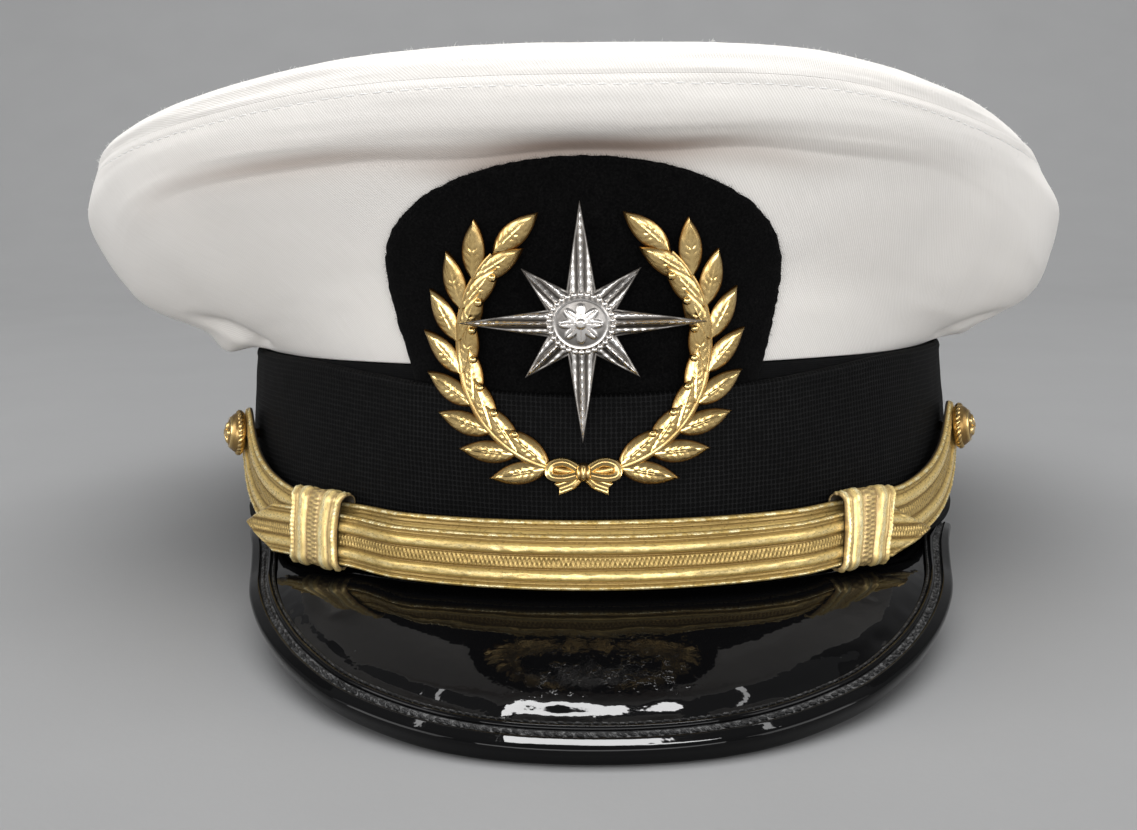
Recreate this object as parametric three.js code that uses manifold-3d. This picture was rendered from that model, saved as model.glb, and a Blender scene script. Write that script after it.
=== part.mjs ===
// Peaked cap: a white cloth crown over an oval black band, a woven braid round the band, a felt badge tab,
// a two-metal badge, a bound patent visor, and a gold lace strap held by two keepers and two side buttons.
// Millimetres. +Z is up, -Y is the front of the cap and +X is its right-hand side seen from the front.
// The cap is drawn upright in its own frame, with the foot of the band on z = 0, and then set down as it rests
// on a table: leaning back on the visor's front edge and on the back of the band.
import * as THREE from "three";
import { mergeVertices } from "three/addons/utils/BufferGeometryUtils.js";
import Module from "manifold-3d";

const wasm = await Module();
wasm.setup();

// ---------------------------------------------------------------- sizes
const GAP = 0.3; // left between pieces that touch
const ROUND = 56; // facets round the cap
const SINK = 0.45; // how far leather and cloth are flattened where the cap rests

// The band is an oval ring, a little wider at its foot than at its top.
const BAND = { height: 42, wall: 3, footHalfWidth: 87.5, footHalfLength: 107, taper: 3.5 };
// The braid lies round the band. Its top edge dips at the front, and there it bulges out over the foot of the tab.
const BRAID = { wall: 1.5, foot: 1.2, top: 41.3, dip: 3.8, dipAngle: 46, bulgeAngle: 23, bulgeFade: 9 };

// Crown: a row for each section, from the front (0 degrees) round to the back (180). "Out" is measured outwards from
// the top of the band, "Z" upwards from its foot. The crease is the dent under the front of the rim.
const CROWN = [
  { at: 0, bellyOut: 2.2, bellyZ: 62, creaseOut: 6.8, creaseZ: 82.2, shoulderOut: 13.6, shoulderZ: 88.4, seamOut: 15, seamZ: 94.9, rimOut: 14.4, rimZ: 99, edgeOut: 9, edgeZ: 101.3 },
  { at: 25, bellyOut: 3, bellyZ: 60, creaseOut: 13, creaseZ: 81.4, shoulderOut: 16.9, shoulderZ: 88.2, seamOut: 17.7, seamZ: 94.4, rimOut: 17, rimZ: 98.4, edgeOut: 11.5, edgeZ: 100.4 },
  { at: 45, bellyOut: 6.5, bellyZ: 56, creaseOut: 20, creaseZ: 78, shoulderOut: 23.4, shoulderZ: 84.2, seamOut: 24, seamZ: 89.8, rimOut: 23.2, rimZ: 93.4, edgeOut: 18, edgeZ: 95.2 },
  { at: 57, bellyOut: 11, bellyZ: 52, creaseOut: 25.6, creaseZ: 70.5, shoulderOut: 28, shoulderZ: 79.4, seamOut: 28, seamZ: 86, rimOut: 26.3, rimZ: 89.2, edgeOut: 21, edgeZ: 90.8 },
  { at: 70, bellyOut: 17, bellyZ: 49, creaseOut: 28, creaseZ: 57.5, shoulderOut: 33.3, shoulderZ: 71.5, seamOut: 29.8, seamZ: 82.6, rimOut: 27.8, rimZ: 85.6, edgeOut: 22.3, edgeZ: 87.1 },
  { at: 100, bellyOut: 17.5, bellyZ: 48, creaseOut: 28, creaseZ: 56, shoulderOut: 33, shoulderZ: 68, seamOut: 29.4, seamZ: 77, rimOut: 27.4, rimZ: 80, edgeOut: 22, edgeZ: 81.5 },
  { at: 140, bellyOut: 15, bellyZ: 47.3, creaseOut: 26, creaseZ: 53.5, shoulderOut: 31.5, shoulderZ: 63, seamOut: 29, seamZ: 70.5, rimOut: 27, rimZ: 73.5, edgeOut: 21.5, edgeZ: 75 },
  { at: 180, bellyOut: 13.5, bellyZ: 47, creaseOut: 24, creaseZ: 52.5, shoulderOut: 29.5, shoulderZ: 61, seamOut: 27.5, seamZ: 68, rimOut: 25.5, rimZ: 71, edgeOut: 20, edgeZ: 72.5 },
];
const CLOTH = { wall: 1.8, hemOut: -0.5, hemLift: 0.4, lean: -7.2, leanHeight: 34, leanFrom: 14, leanOver: 44, centreZ: 88.5, centreY: 4 };
// Rings of the top panel between its edge and its centre: share of the way out, and how far the height follows the edge.
const PANEL = [
  { share: 0.8, follow: 0.72 },
  { share: 0.5, follow: 0.36 },
  { share: 0.22, follow: 0.1 },
  { share: 0, follow: 0 },
];

// Badge tab: a felt oval that stands up from behind the braid, against the front of the crown.
const TAB = { wall: 1.5, clear: 0.5, shift: -2.3, centreZ: 58.4, halfWidth: 35.5, above: 22.9, below: 46.5, tuckZ: 33 };

// Visor: reach from the foot of the band and drop to the edge, a row for each angle from the front.
const VISOR = [
  { at: 0, reach: 41.5, drop: 15.7, sink: 0 },
  { at: 10, reach: 40.2, drop: 15.1, sink: 0 },
  { at: 20, reach: 34.6, drop: 13, sink: 0 },
  { at: 27, reach: 28.7, drop: 10.6, sink: 0 },
  { at: 34, reach: 22.2, drop: 7.9, sink: 0.1 },
  { at: 42, reach: 14.8, drop: 4.9, sink: 0.4 },
  { at: 50, reach: 7.8, drop: 2.3, sink: 0.9 },
  { at: 57, reach: 3.6, drop: 1, sink: 1.3 },
  { at: 64, reach: 1.4, drop: 0.3, sink: 1.5 },
];
const VISOR_EDGE = { wall: 2, endWall: 1.3, tuck: 2.6, curve: 0.65, level: 1, thinFrom: 42, thinOver: 16, bindingEnd: 0.5 };
// The binding folds over the visor's edge: a row for each corner of its section, outside and inside.
// "From" is the level a corner is measured from: 1 the visor's top, 0 the middle of its edge, -1 its underside.
const BINDING = [
  { part: "top hem", from: 1, outerAlong: -4.6, outerUp: 0.75, innerAlong: -4.6, innerUp: 0.3 },
  { part: "top flange", from: 1, outerAlong: -2.2, outerUp: 1.15, innerAlong: -2.2, innerUp: 0.3 },
  { part: "bead top", from: 1, outerAlong: 0.3, outerUp: 1.6, innerAlong: 0.3, innerUp: 0.3 },
  { part: "nose upper", from: 0, outerAlong: 2.1, outerUp: 1.4, innerAlong: 0.35, innerUp: 0.4 },
  { part: "nose lower", from: 0, outerAlong: 2.1, outerUp: -1.2, innerAlong: 0.35, innerUp: -0.4 },
  { part: "bead foot", from: -1, outerAlong: 0.3, outerUp: -1.4, innerAlong: 0.3, innerUp: -0.3 },
  { part: "under hem", from: -1, outerAlong: -3.6, outerUp: -1, innerAlong: -3.6, innerUp: -0.45 },
];

// Strap: the back layer runs from button to button, and the front layer lies on it between two pointed ends.
const STRAP = { frontWidth: 10.4, frontWall: 1.6, backWidth: 12.4, backWall: 1.3, off: 1, between: 0.4, tip: 0.14, tipWidth: 0.5, hang: 1.3, backEnd: 68.2, roundEnd: 3 };
// The middle lines of the two layers: height, and how far the back layer stands off the braid, a row for each angle from the front.
const STRAP_LINE = [
  { at: 0, frontZ: 6.5, backZ: 8, standOff: 0 },
  { at: 24, frontZ: 6.7, backZ: 8, standOff: 0 },
  { at: 36, frontZ: 7, backZ: 8.1, standOff: 0 },
  { at: 41, frontZ: 6.8, backZ: 8.5, standOff: 0.1 },
  { at: 45, frontZ: 6.5, backZ: 8.8, standOff: 0.5 },
  { at: 50, frontZ: 6, backZ: 10.3, standOff: 0.8 },
  { at: 55, frontZ: 5.4, backZ: 12.7, standOff: 0.9 },
  { at: 60, frontZ: 5.2, backZ: 16.6, standOff: 0.8 },
  { at: 65, frontZ: 5.2, backZ: 23, standOff: 0.7 },
  { at: 71, frontZ: 5.2, backZ: 30.5, standOff: 0.7 },
];
// The two ends of the front layer and the keepers beside them, which don't sit quite alike.
const STRAP_SIDES = [
  { name: "left", side: -1, tipAt: 55.4, keeperAt: 38 },
  { name: "right", side: 1, tipAt: 47.7, keeperAt: 34.6 },
];
const KEEPER = { length: 13, wall: 0.9, slack: 0.35 };
// Side buttons: a domed disc on a shank that goes through the strap and the braid into the band.
const BUTTON = { at: 65, radius: 5.3, rim: 1.3, dome: 3.2, shankRadius: 1.2, holeRadius: 1.6, bite: 2.2 };

// Badge: an eight-rayed star of white metal in a wreath of yellow metal. Heights are up from the badge's middle.
const BADGE = { shift: -2.6, middleZ: 47.5, clear: 0.5, plate: 1.2, crossOver: 0.7 };
const STAR = { rays: 8, longRay: 22.5, shortRay: 14.5, notch: 6.6, lift: 3.5, edge: 1, peak: 3.2, bossRadius: 5.8, bossHeight: 4.6 };
const WREATH = { radius: 23.6, stretch: 1, lift: -1.2, leaves: 9, firstAngle: 15, lastAngle: 138, leafLength: 11.5, leafWidth: 5.6, spread: 26, stem: 1.5, knotRadius: 4 };

// ---------------------------------------------------------------- materials
const finish = (color, roughness, metalness) => new THREE.MeshStandardMaterial({ color, roughness, metalness });
const WHITE_TWILL = finish(0xe9e7e2, 0.9, 0);
const BLACK_CLOTH = finish(0x121213, 0.9, 0);
const BLACK_BRAID = finish(0x18181a, 0.75, 0);
const BLACK_FELT = finish(0x0c0c0d, 1, 0);
const BLACK_PATENT = finish(0x050506, 0.08, 0);
const GOLD_LACE = finish(0xb08d3c, 0.4, 0.8);
const GOLD_METAL = finish(0xd0a04a, 0.22, 1);
const SILVER_METAL = finish(0xb9b4ae, 0.25, 1);

// ---------------------------------------------------------------- helpers
const RAD = Math.PI / 180;
const V = (x, y, z) => new THREE.Vector3(x, y, z);
const clamp01 = (t) => Math.min(1, Math.max(0, t));
const ease = (t) => { const k = clamp01(t); return k * k * (3 - 2 * k); };

// One column of a table as a smooth function of its angle, even about the first row and, in a full half-turn, about the last.
function column(table, name) {
  const rows = table.map((r) => ({ at: r.at, is: r[name] }));
  const last = rows[rows.length - 1];
  const before = { at: -rows[1].at, is: rows[1].is };
  const two = rows[rows.length - 2];
  const after = last.at === 180 ? { at: 360 - two.at, is: two.is } : { at: 2 * last.at - two.at, is: 2 * last.is - two.is };
  const all = [before, ...rows, after];
  return (angle) => {
    const d = Math.min(Math.abs(angle) / RAD, last.at);
    let i = 1;
    while (i < all.length - 3 && d > all[i + 1].at) i++;
    const [p, a, b, n] = [all[i - 1], all[i], all[i + 1], all[i + 2]];
    const w = b.at - a.at, t = (d - a.at) / w;
    const ma = ((b.is - p.is) / (b.at - p.at)) * w, mb = ((n.is - a.is) / (n.at - a.at)) * w;
    const t2 = t * t, t3 = t2 * t;
    return (2 * t3 - 3 * t2 + 1) * a.is + (t3 - 2 * t2 + t) * ma + (3 * t2 - 2 * t3) * b.is + (t3 - t2) * mb;
  };
}
const columns = (table) => Object.fromEntries(Object.keys(table[0]).filter((k) => k !== "at").map((k) => [k, column(table, k)]));

// A closed solid from sections. Each section is a list of [outer, inner] pairs across a wall; the sections close into a ring or end flat.
function wall(sections, ring) {
  const position = [], index = [], n = sections[0].length, m = sections.length;
  for (const s of sections) for (const [o, i] of s) position.push(o.x, o.y, o.z, i.x, i.y, i.z);
  const at = (u, v, side) => 2 * ((u % m) * n + v) + side;
  const quad = (a, b, c, d) => index.push(a, b, c, a, c, d);
  for (let u = 0; u < (ring ? m : m - 1); u++) {
    for (let v = 0; v < n - 1; v++) {
      quad(at(u, v, 0), at(u + 1, v, 0), at(u + 1, v + 1, 0), at(u, v + 1, 0));
      quad(at(u, v, 1), at(u, v + 1, 1), at(u + 1, v + 1, 1), at(u + 1, v, 1));
    }
    quad(at(u, 0, 1), at(u + 1, 0, 1), at(u + 1, 0, 0), at(u, 0, 0));
    quad(at(u, n - 1, 0), at(u + 1, n - 1, 0), at(u + 1, n - 1, 1), at(u, n - 1, 1));
  }
  if (!ring)
    for (let v = 0; v < n - 1; v++) {
      quad(at(0, v, 0), at(0, v + 1, 0), at(0, v + 1, 1), at(0, v, 1));
      quad(at(m - 1, v, 1), at(m - 1, v + 1, 1), at(m - 1, v + 1, 0), at(m - 1, v, 0));
    }
  return closed(position, index);
}

// Merges equal corners, drops the faces that collapse (at a pole), and turns the faces outwards.
function closed(position, index) {
  const raw = new THREE.BufferGeometry().setAttribute("position", new THREE.Float32BufferAttribute(position, 3)).setIndex(index);
  const g = mergeVertices(raw, 1e-4);
  const p = g.attributes.position, i = g.index.array, kept = [];
  let volume = 0;
  const [a, b, c] = [V(), V(), V()];
  for (let k = 0; k < i.length; k += 3) {
    if (i[k] === i[k + 1] || i[k + 1] === i[k + 2] || i[k] === i[k + 2]) continue;
    kept.push(i[k], i[k + 1], i[k + 2]);
    a.fromBufferAttribute(p, i[k]), b.fromBufferAttribute(p, i[k + 1]), c.fromBufferAttribute(p, i[k + 2]);
    volume += a.dot(b.cross(c));
  }
  if (volume < 0) for (let k = 0; k < kept.length; k += 3) [kept[k], kept[k + 1]] = [kept[k + 1], kept[k]];
  return g.setIndex(kept);
}

// A wall of a given thickness behind the surface at(u, v).
function sheet(at, thickness, us, vs, ring) {
  const e = 1e-3;
  return wall(
    us.map((u) =>
      vs.map((v) => {
        const o = at(u, v);
        const du = at(u + e, v).sub(at(u - e, v)), dv = at(u, v + e).sub(at(u, v - e));
        const n = du.cross(dv).normalize();
        return [o, o.clone().addScaledVector(n, -(typeof thickness === "function" ? thickness(u) : thickness))];
      }),
    ),
    ring,
  );
}
const steps = (from, to, n) => Array.from({ length: n + 1 }, (_, k) => from + ((to - from) * k) / n);
const turn = (n) => Array.from({ length: n }, (_, k) => -Math.PI + (2 * Math.PI * k) / n);

// Booleans on geometries.
function solid(geometry) {
  const g = geometry.index ? geometry.toNonIndexed() : geometry.clone();
  for (const name of Object.keys(g.attributes)) if (name !== "position") g.deleteAttribute(name);
  const m = mergeVertices(g, 1e-4);
  return new wasm.Manifold(new wasm.Mesh({ numProp: 3, vertProperties: m.attributes.position.array, triVerts: new Uint32Array(m.index.array) }));
}
function geometryOf(manifold) {
  const m = manifold.getMesh(), v = new Float32Array(m.numVert * 3);
  for (let i = 0; i < m.numVert; i++) v.set(m.vertProperties.subarray(i * m.numProp, i * m.numProp + 3), i * 3);
  return new THREE.BufferGeometry().setAttribute("position", new THREE.BufferAttribute(v, 3)).setIndex(new THREE.BufferAttribute(m.triVerts.slice(), 1));
}
const cut = (geometry, ...tools) => geometryOf(tools.reduce((s, t) => s.subtract(solid(t)), solid(geometry)));
const join = (...geometries) => geometryOf(geometries.map(solid).reduce((a, b) => a.add(b)));

// A point on the band's outside, at an angle from the front and a height, moved outwards.
function onBand(angle, z, out) {
  const inset = (BAND.taper * Math.min(BAND.height, Math.max(0, z))) / BAND.height;
  const a = BAND.footHalfWidth - inset, b = BAND.footHalfLength - inset;
  const s = Math.sin(angle), c = Math.cos(angle);
  const n = new THREE.Vector2(s / a, -c / b).normalize();
  return V(a * s + n.x * out, -b * c + n.y * out, z);
}

// ---------------------------------------------------------------- band and braid
const band = () =>
  wall(turn(ROUND).map((u) => [[onBand(u, 0, 0), onBand(u, 0, -BAND.wall)], [onBand(u, BAND.height, 0), onBand(u, BAND.height, -BAND.wall)]]), true);

const braidBulge = (angle) => (TAB.wall + GAP + 0.2) * (1 - ease((Math.abs(angle) / RAD - BRAID.bulgeAngle) / BRAID.bulgeFade));
const braidOut = (angle) => GAP + BRAID.wall + braidBulge(angle);
const braidTop = (angle) => BRAID.top - BRAID.dip * (1 - ease(Math.abs(angle) / RAD / BRAID.dipAngle));
const braid = () =>
  wall(
    turn(ROUND).map((u) => {
      const mid = TAB.tuckZ - 3;
      return [
        [onBand(u, BRAID.foot, GAP + BRAID.wall), onBand(u, BRAID.foot, 2 * GAP)],
        [onBand(u, mid, braidOut(u)), onBand(u, mid, GAP + braidBulge(u))],
        [onBand(u, braidTop(u), braidOut(u)), onBand(u, braidTop(u), GAP + braidBulge(u))],
      ];
    }),
    true,
  );

// ---------------------------------------------------------------- crown
const C = columns(CROWN);
// The cover sits a little to one side on its frame, except at the front, where the tab holds it.
const leanAt = (angle, z) => CLOTH.lean * clamp01((z - BAND.height) / CLOTH.leanHeight) * ease((Math.abs(angle) / RAD - CLOTH.leanFrom) / CLOTH.leanOver);
function crownPoint(angle, out, z) {
  const p = onBand(angle, z, out);
  p.x += leanAt(angle, z);
  return p;
}
// The line up the crown at an angle: from its hem, over the rim, to the middle of the top panel.
const lines = new Map();
function crownLine(angle) {
  const key = Math.round(angle * 1e7);
  if (!lines.has(key)) {
    const named = ["belly", "crease", "shoulder", "seam", "rim", "edge"].map((n) => crownPoint(angle, C[n + "Out"](angle), C[n + "Z"](angle)));
    const edge = named[5], middle = V(CLOTH.lean, CLOTH.centreY, CLOTH.centreZ);
    const panel = PANEL.map(({ share, follow }) => V(middle.x + (edge.x - middle.x) * share, middle.y + (edge.y - middle.y) * share, middle.z + (edge.z - middle.z) * follow));
    lines.set(key, new THREE.CatmullRomCurve3([crownPoint(angle, CLOTH.hemOut, BAND.height + CLOTH.hemLift), ...named, ...panel], false, "centripetal"));
  }
  return lines.get(key);
}
const LAST = 6 + PANEL.length; // index of the line's last point; its fourth is the seam
const onCrown = (angle, v) => crownLine(angle).getPoint(clamp01(v / LAST));
const SEAM = 4, SEAM_HALF = 0.06;
const SIDE_STEPS = [0.001, 0.4, 0.8, 1.3, 1.75, 2.05, 2.45, 2.95, 3.5, SEAM - SEAM_HALF];
const TOP_STEPS = [SEAM + SEAM_HALF, 4.6, 5.2, 6, 7, 8.2];
const crownSide = () => sheet(onCrown, CLOTH.wall, turn(ROUND), SIDE_STEPS, true);
function crownTop() {
  const rings = turn(ROUND).map((u) =>
    TOP_STEPS.map((v) => {
      const e = 1e-3, o = onCrown(u, v);
      const n = onCrown(u + e, v).sub(onCrown(u - e, v)).cross(onCrown(u, v + e).sub(onCrown(u, v - e))).normalize();
      return [o, o.clone().addScaledVector(n, -CLOTH.wall)];
    }),
  );
  const pole = onCrown(0, LAST), under = pole.clone().setZ(pole.z - CLOTH.wall);
  return wall(rings.map((r) => [...r, [pole, under]]), true);
}

// How far the crown's outside stands out from the band at a height, below the crease.
function crownOut(angle, z) {
  let [lo, hi] = [0, 2];
  for (let k = 0; k < 24; k++) {
    const mid = (lo + hi) / 2;
    if (onCrown(angle, mid).z < z) lo = mid;
    else hi = mid;
  }
  const p = onCrown(angle, lo), q = onBand(angle, z, 0), n = onBand(angle, z, 1).sub(q);
  return p.sub(q).dot(n);
}

// ---------------------------------------------------------------- badge tab
// The tab's back: close to the band below its top, and clear of the crown's front above it.
const tabOut = (angle, z) => GAP + (z > BAND.height ? Math.max(0, crownOut(angle, Math.min(z, C.creaseZ(angle))) + TAB.clear - GAP) * ease((z - BAND.height) / 8) : 0);
const frontRadius = (BAND.footHalfWidth - BAND.taper) ** 2 / (BAND.footHalfLength - BAND.taper);
function onTab(across, z, out) {
  const angle = (across + TAB.shift) / (frontRadius * 1.18);
  return onBand(angle, z, tabOut(angle, z) + out);
}
function badgeTab() {
  const across = (z) => TAB.halfWidth * Math.sqrt(Math.max(0, 1 - ((z - TAB.centreZ) / (z > TAB.centreZ ? TAB.above : TAB.below)) ** 2));
  const rows = [TAB.tuckZ, 36.5, 40.5, 44, 48, 54, TAB.centreZ, ...[0.35, 0.6, 0.78, 0.9, 0.965, 0.99].map((k) => TAB.centreZ + TAB.above * k)];
  return wall(
    rows.map((z) => steps(-1, 1, 16).map((s) => [onTab(s * across(z), z, TAB.wall), onTab(s * across(z), z, 0)])),
    false,
  );
}

// ---------------------------------------------------------------- visor and its binding
const VIS = columns(VISOR);
const VISOR_END = VISOR[VISOR.length - 1].at * RAD;
const thinning = (angle) => ease((Math.abs(angle) / RAD - VISOR_EDGE.thinFrom) / VISOR_EDGE.thinOver);
const visorWall = (u) => VISOR_EDGE.wall + (VISOR_EDGE.endWall - VISOR_EDGE.wall) * thinning(u * VISOR_END);
function onVisor(u, v) {
  const angle = u * VISOR_END, reach = VIS.reach(angle), d = -VISOR_EDGE.tuck + (reach + VISOR_EDGE.tuck) * v;
  const share = Math.max(0, d) / reach;
  const level = VISOR_EDGE.level * ease(d / 4) * (1 - share) ** 2 * (1 - ease((Math.abs(angle) / RAD - 30) / 20)); // nearly flat beside the band
  return onBand(angle, 0, d).setZ(level - GAP - VIS.sink(angle) - VIS.drop(angle) * ((1 - VISOR_EDGE.curve) * share + VISOR_EDGE.curve * share * share));
}
const VISOR_STEPS = steps(-0.99, 0.99, 38);
const visor = () => sheet(onVisor, (u) => -visorWall(u), [-1, ...VISOR_STEPS, 1], [0, 0.06, 0.28, 0.52, 0.76, 0.89, 1], false);
function binding() {
  const e = 1e-3;
  return wall(
    VISOR_STEPS.map((u) => {
      const angle = u * VISOR_END, thick = visorWall(u), size = 1 + (VISOR_EDGE.bindingEnd - 1) * thinning(angle);
      const at = onVisor(u, 1), along = at.clone().sub(onVisor(u, 1 - e)).normalize();
      const up = onVisor(u + e, 1).sub(onVisor(u - e, 1)).cross(along).normalize();
      if (up.z < 0) up.negate();
      const room = Math.min(1, (VIS.reach(angle) + 1) / 5.6);
      const put = (a, n) => at.clone().addScaledVector(along, a < 0 ? a * room : a).addScaledVector(up, n);
      return BINDING.map((b) => {
        const level = ((b.from - 1) * thick) / 2;
        return [
          put(b.outerAlong < 0 ? b.outerAlong : b.innerAlong + (b.outerAlong - b.innerAlong) * size, level + b.innerUp + (b.outerUp - b.innerUp) * size),
          put(b.innerAlong, level + b.innerUp),
        ];
      });
    }),
    false,
  );
}

// ---------------------------------------------------------------- strap, keepers and buttons
const LINE = columns(STRAP_LINE);
const frontLine = (u) => LINE.frontZ(u) - STRAP.hang * ease((u / RAD - 34) / 12); // its right end hangs a little
// A place on a layer: an angle, a distance across the layer from its middle line, and a distance out from the back layer's back.
function onStrap(line, angle, across, out) {
  const e = 1e-3, at = (u) => onBand(u, line(u), braidOut(u) + STRAP.off + LINE.standOff(u));
  const p = at(angle), along = at(angle + e).sub(at(angle - e)).normalize();
  const rise = onBand(angle, 2, 0).sub(onBand(angle, 1, 0));
  const outward = along.clone().cross(rise).normalize();
  const up = outward.clone().cross(along).normalize();
  return p.addScaledVector(up, across).addScaledVector(outward, out);
}
const lace = (line, angles, half, from, to) => wall(angles.map((u) => [-1, 0, 1].map((k) => [onStrap(line, u, k * half(u), to), onStrap(line, u, k * half(u), from)])), false);
function strapBack() {
  const last = STRAP.backEnd * RAD, end = STRAP.roundEnd * RAD;
  const half = (u) => (STRAP.backWidth / 2) * Math.sqrt(Math.max(0.06, 1 - Math.max(0, (Math.abs(u) - last + end) / end) ** 2));
  const angles = [...steps(-last, -last + end, 4), ...steps(-last + end, last - end, 40).slice(1, -1), ...steps(last - end, last, 4)];
  return lace(LINE.backZ, angles, half, 0, STRAP.backWall);
}
const FRONT_BACK = STRAP.backWall + STRAP.between; // the front layer's back
function strapFront() {
  const [first, last] = STRAP_SIDES.map((s) => s.side * s.tipAt * RAD);
  const half = (u) => (STRAP.frontWidth / 2) * Math.min(1, (STRAP.tipWidth + (Math.min(u - first, last - u) / STRAP.tip) * (STRAP.frontWidth - STRAP.tipWidth)) / STRAP.frontWidth);
  const angles = [...steps(first, first + STRAP.tip, 3), ...steps(first + STRAP.tip, last - STRAP.tip, 26).slice(1, -1), ...steps(last - STRAP.tip, last, 3)];
  return lace(frontLine, angles, half, FRONT_BACK, FRONT_BACK + STRAP.frontWall);
}
function keeper({ side, keeperAt }) {
  const middle = side * keeperAt * RAD, half = KEEPER.length / 2 / 92, w = KEEPER.wall;
  const low = -STRAP.frontWidth / 2 - KEEPER.slack, high = LINE.backZ(middle) - frontLine(middle) + STRAP.backWidth / 2 + KEEPER.slack + 0.9, mid = (low + high) / 2;
  const inner = -0.3, outer = FRONT_BACK + STRAP.frontWall + GAP;
  const corners = [[low, inner, -1, 0], [low, outer, -1, 1], [mid, outer, 0, 1.3], [high, outer, 1, 1], [high, inner, 1, 0], [mid, inner, 0, 0]];
  const place = (k, across, out) => onStrap(frontLine, middle + k * half, across, out);
  return wall(
    corners.map(([a, o, da, d]) => [-1, 0, 1].map((k) => [place(k, a + da * w, o + (d ? d * w : -0.4)), place(k, a, o)])),
    true,
  );
}
// How deep the seat of a button's shank is, from under the button's disc.
const BUTTON_DEPTH = GAP + STRAP.backWall + LINE.standOff(BUTTON.at * RAD) + STRAP.off + BRAID.wall + GAP + BUTTON.bite;
// Where a button sits: on the strap's middle line, facing out.
function buttonPlace(side) {
  const u = side * BUTTON.at * RAD, at = onStrap(LINE.backZ, u, 0, STRAP.backWall), out = at.clone().sub(onStrap(LINE.backZ, u, 0, 0)).normalize();
  const turnTo = new THREE.Quaternion().setFromUnitVectors(V(0, 1, 0), out);
  return new THREE.Matrix4().compose(at.addScaledVector(out, GAP), turnTo, V(1, 1, 1));
}
function button(side) {
  const r = BUTTON.radius, s = BUTTON.shankRadius, deep = GAP - BUTTON_DEPTH;
  const dome = steps(0, 1, 5).map((t) => new THREE.Vector2(r * 0.92 * Math.cos((t * Math.PI) / 2), BUTTON.rim + BUTTON.dome * Math.sin((t * Math.PI) / 2)));
  dome[dome.length - 1].x = 0;
  const profile = [new THREE.Vector2(0, deep), new THREE.Vector2(s, deep), new THREE.Vector2(s, 0), new THREE.Vector2(r * 0.96, 0), new THREE.Vector2(r, BUTTON.rim * 0.5), new THREE.Vector2(r * 0.96, BUTTON.rim), ...dome];
  const g = new THREE.LatheGeometry(profile, 20);
  g.deleteAttribute("normal"), g.deleteAttribute("uv");
  return closed([...g.toNonIndexed().attributes.position.array], [...Array(g.index.count).keys()]).applyMatrix4(buttonPlace(side));
}
const buttonHole = (side) => new THREE.CylinderGeometry(BUTTON.holeRadius, BUTTON.holeRadius, 30, 12).applyMatrix4(buttonPlace(side));
const buttonSeat = (side, depth) => new THREE.CylinderGeometry(BUTTON.holeRadius, BUTTON.holeRadius, 30, 12).translate(0, 15 - depth, 0).applyMatrix4(buttonPlace(side));

// ---------------------------------------------------------------- badge
// A flat design bent on to the front of the cap: x across, y up from the badge's middle, z out.
function onBadge(x, y, out) {
  const z = BADGE.middleZ + y * 0.985, angle = (x + BADGE.shift) / (frontRadius * 1.3);
  const lean = Math.max(0, tabOut(0, Math.max(z, 0)));
  return onBand(angle, z, TAB.wall + GAP + BRAID.wall + BADGE.clear + lean + out);
}
function bend(geometry) {
  const g = geometry.clone(), p = g.attributes.position;
  for (let i = 0; i < p.count; i++) {
    const q = onBadge(p.getX(i), p.getY(i), p.getZ(i));
    p.setXYZ(i, q.x, q.y, q.z);
  }
  return g;
}
function star() {
  const position = [], index = [], n = STAR.rays * 2;
  const rim = Array.from({ length: n }, (_, k) => {
    const r = k % 2 ? STAR.notch : k % 4 ? STAR.shortRay : STAR.longRay;
    return [r * Math.sin((k * 2 * Math.PI) / n), STAR.lift + r * Math.cos((k * 2 * Math.PI) / n)];
  });
  const base = BADGE.plate + BADGE.crossOver;
  for (const [share, z] of [[1, 0], [0.5, 0], [1, STAR.edge], [0.5, (STAR.edge + STAR.peak) / 2]]) for (const [x, y] of rim) position.push(x * share, STAR.lift + (y - STAR.lift) * share, base + z);
  position.push(0, STAR.lift, base, 0, STAR.lift, base + STAR.peak);
  for (let k = 0; k < n; k++) {
    const m = (k + 1) % n;
    const strip = (a, b) => index.push(a + k, a + m, b + m, a + k, b + m, b + k);
    index.push(4 * n, n + k, n + m, 4 * n + 1, 3 * n + m, 3 * n + k);
    strip(0, n), strip(2 * n, 0), strip(3 * n, 2 * n);
  }
  const rays = closed(position, index);
  const boss = new THREE.CylinderGeometry(STAR.bossRadius * 0.8, STAR.bossRadius, STAR.bossHeight - 0.4, 20).rotateX(Math.PI / 2).translate(0, STAR.lift, BADGE.plate + BADGE.crossOver + 0.2 + STAR.bossHeight / 2);
  return bend(join(rays, boss));
}
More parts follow.
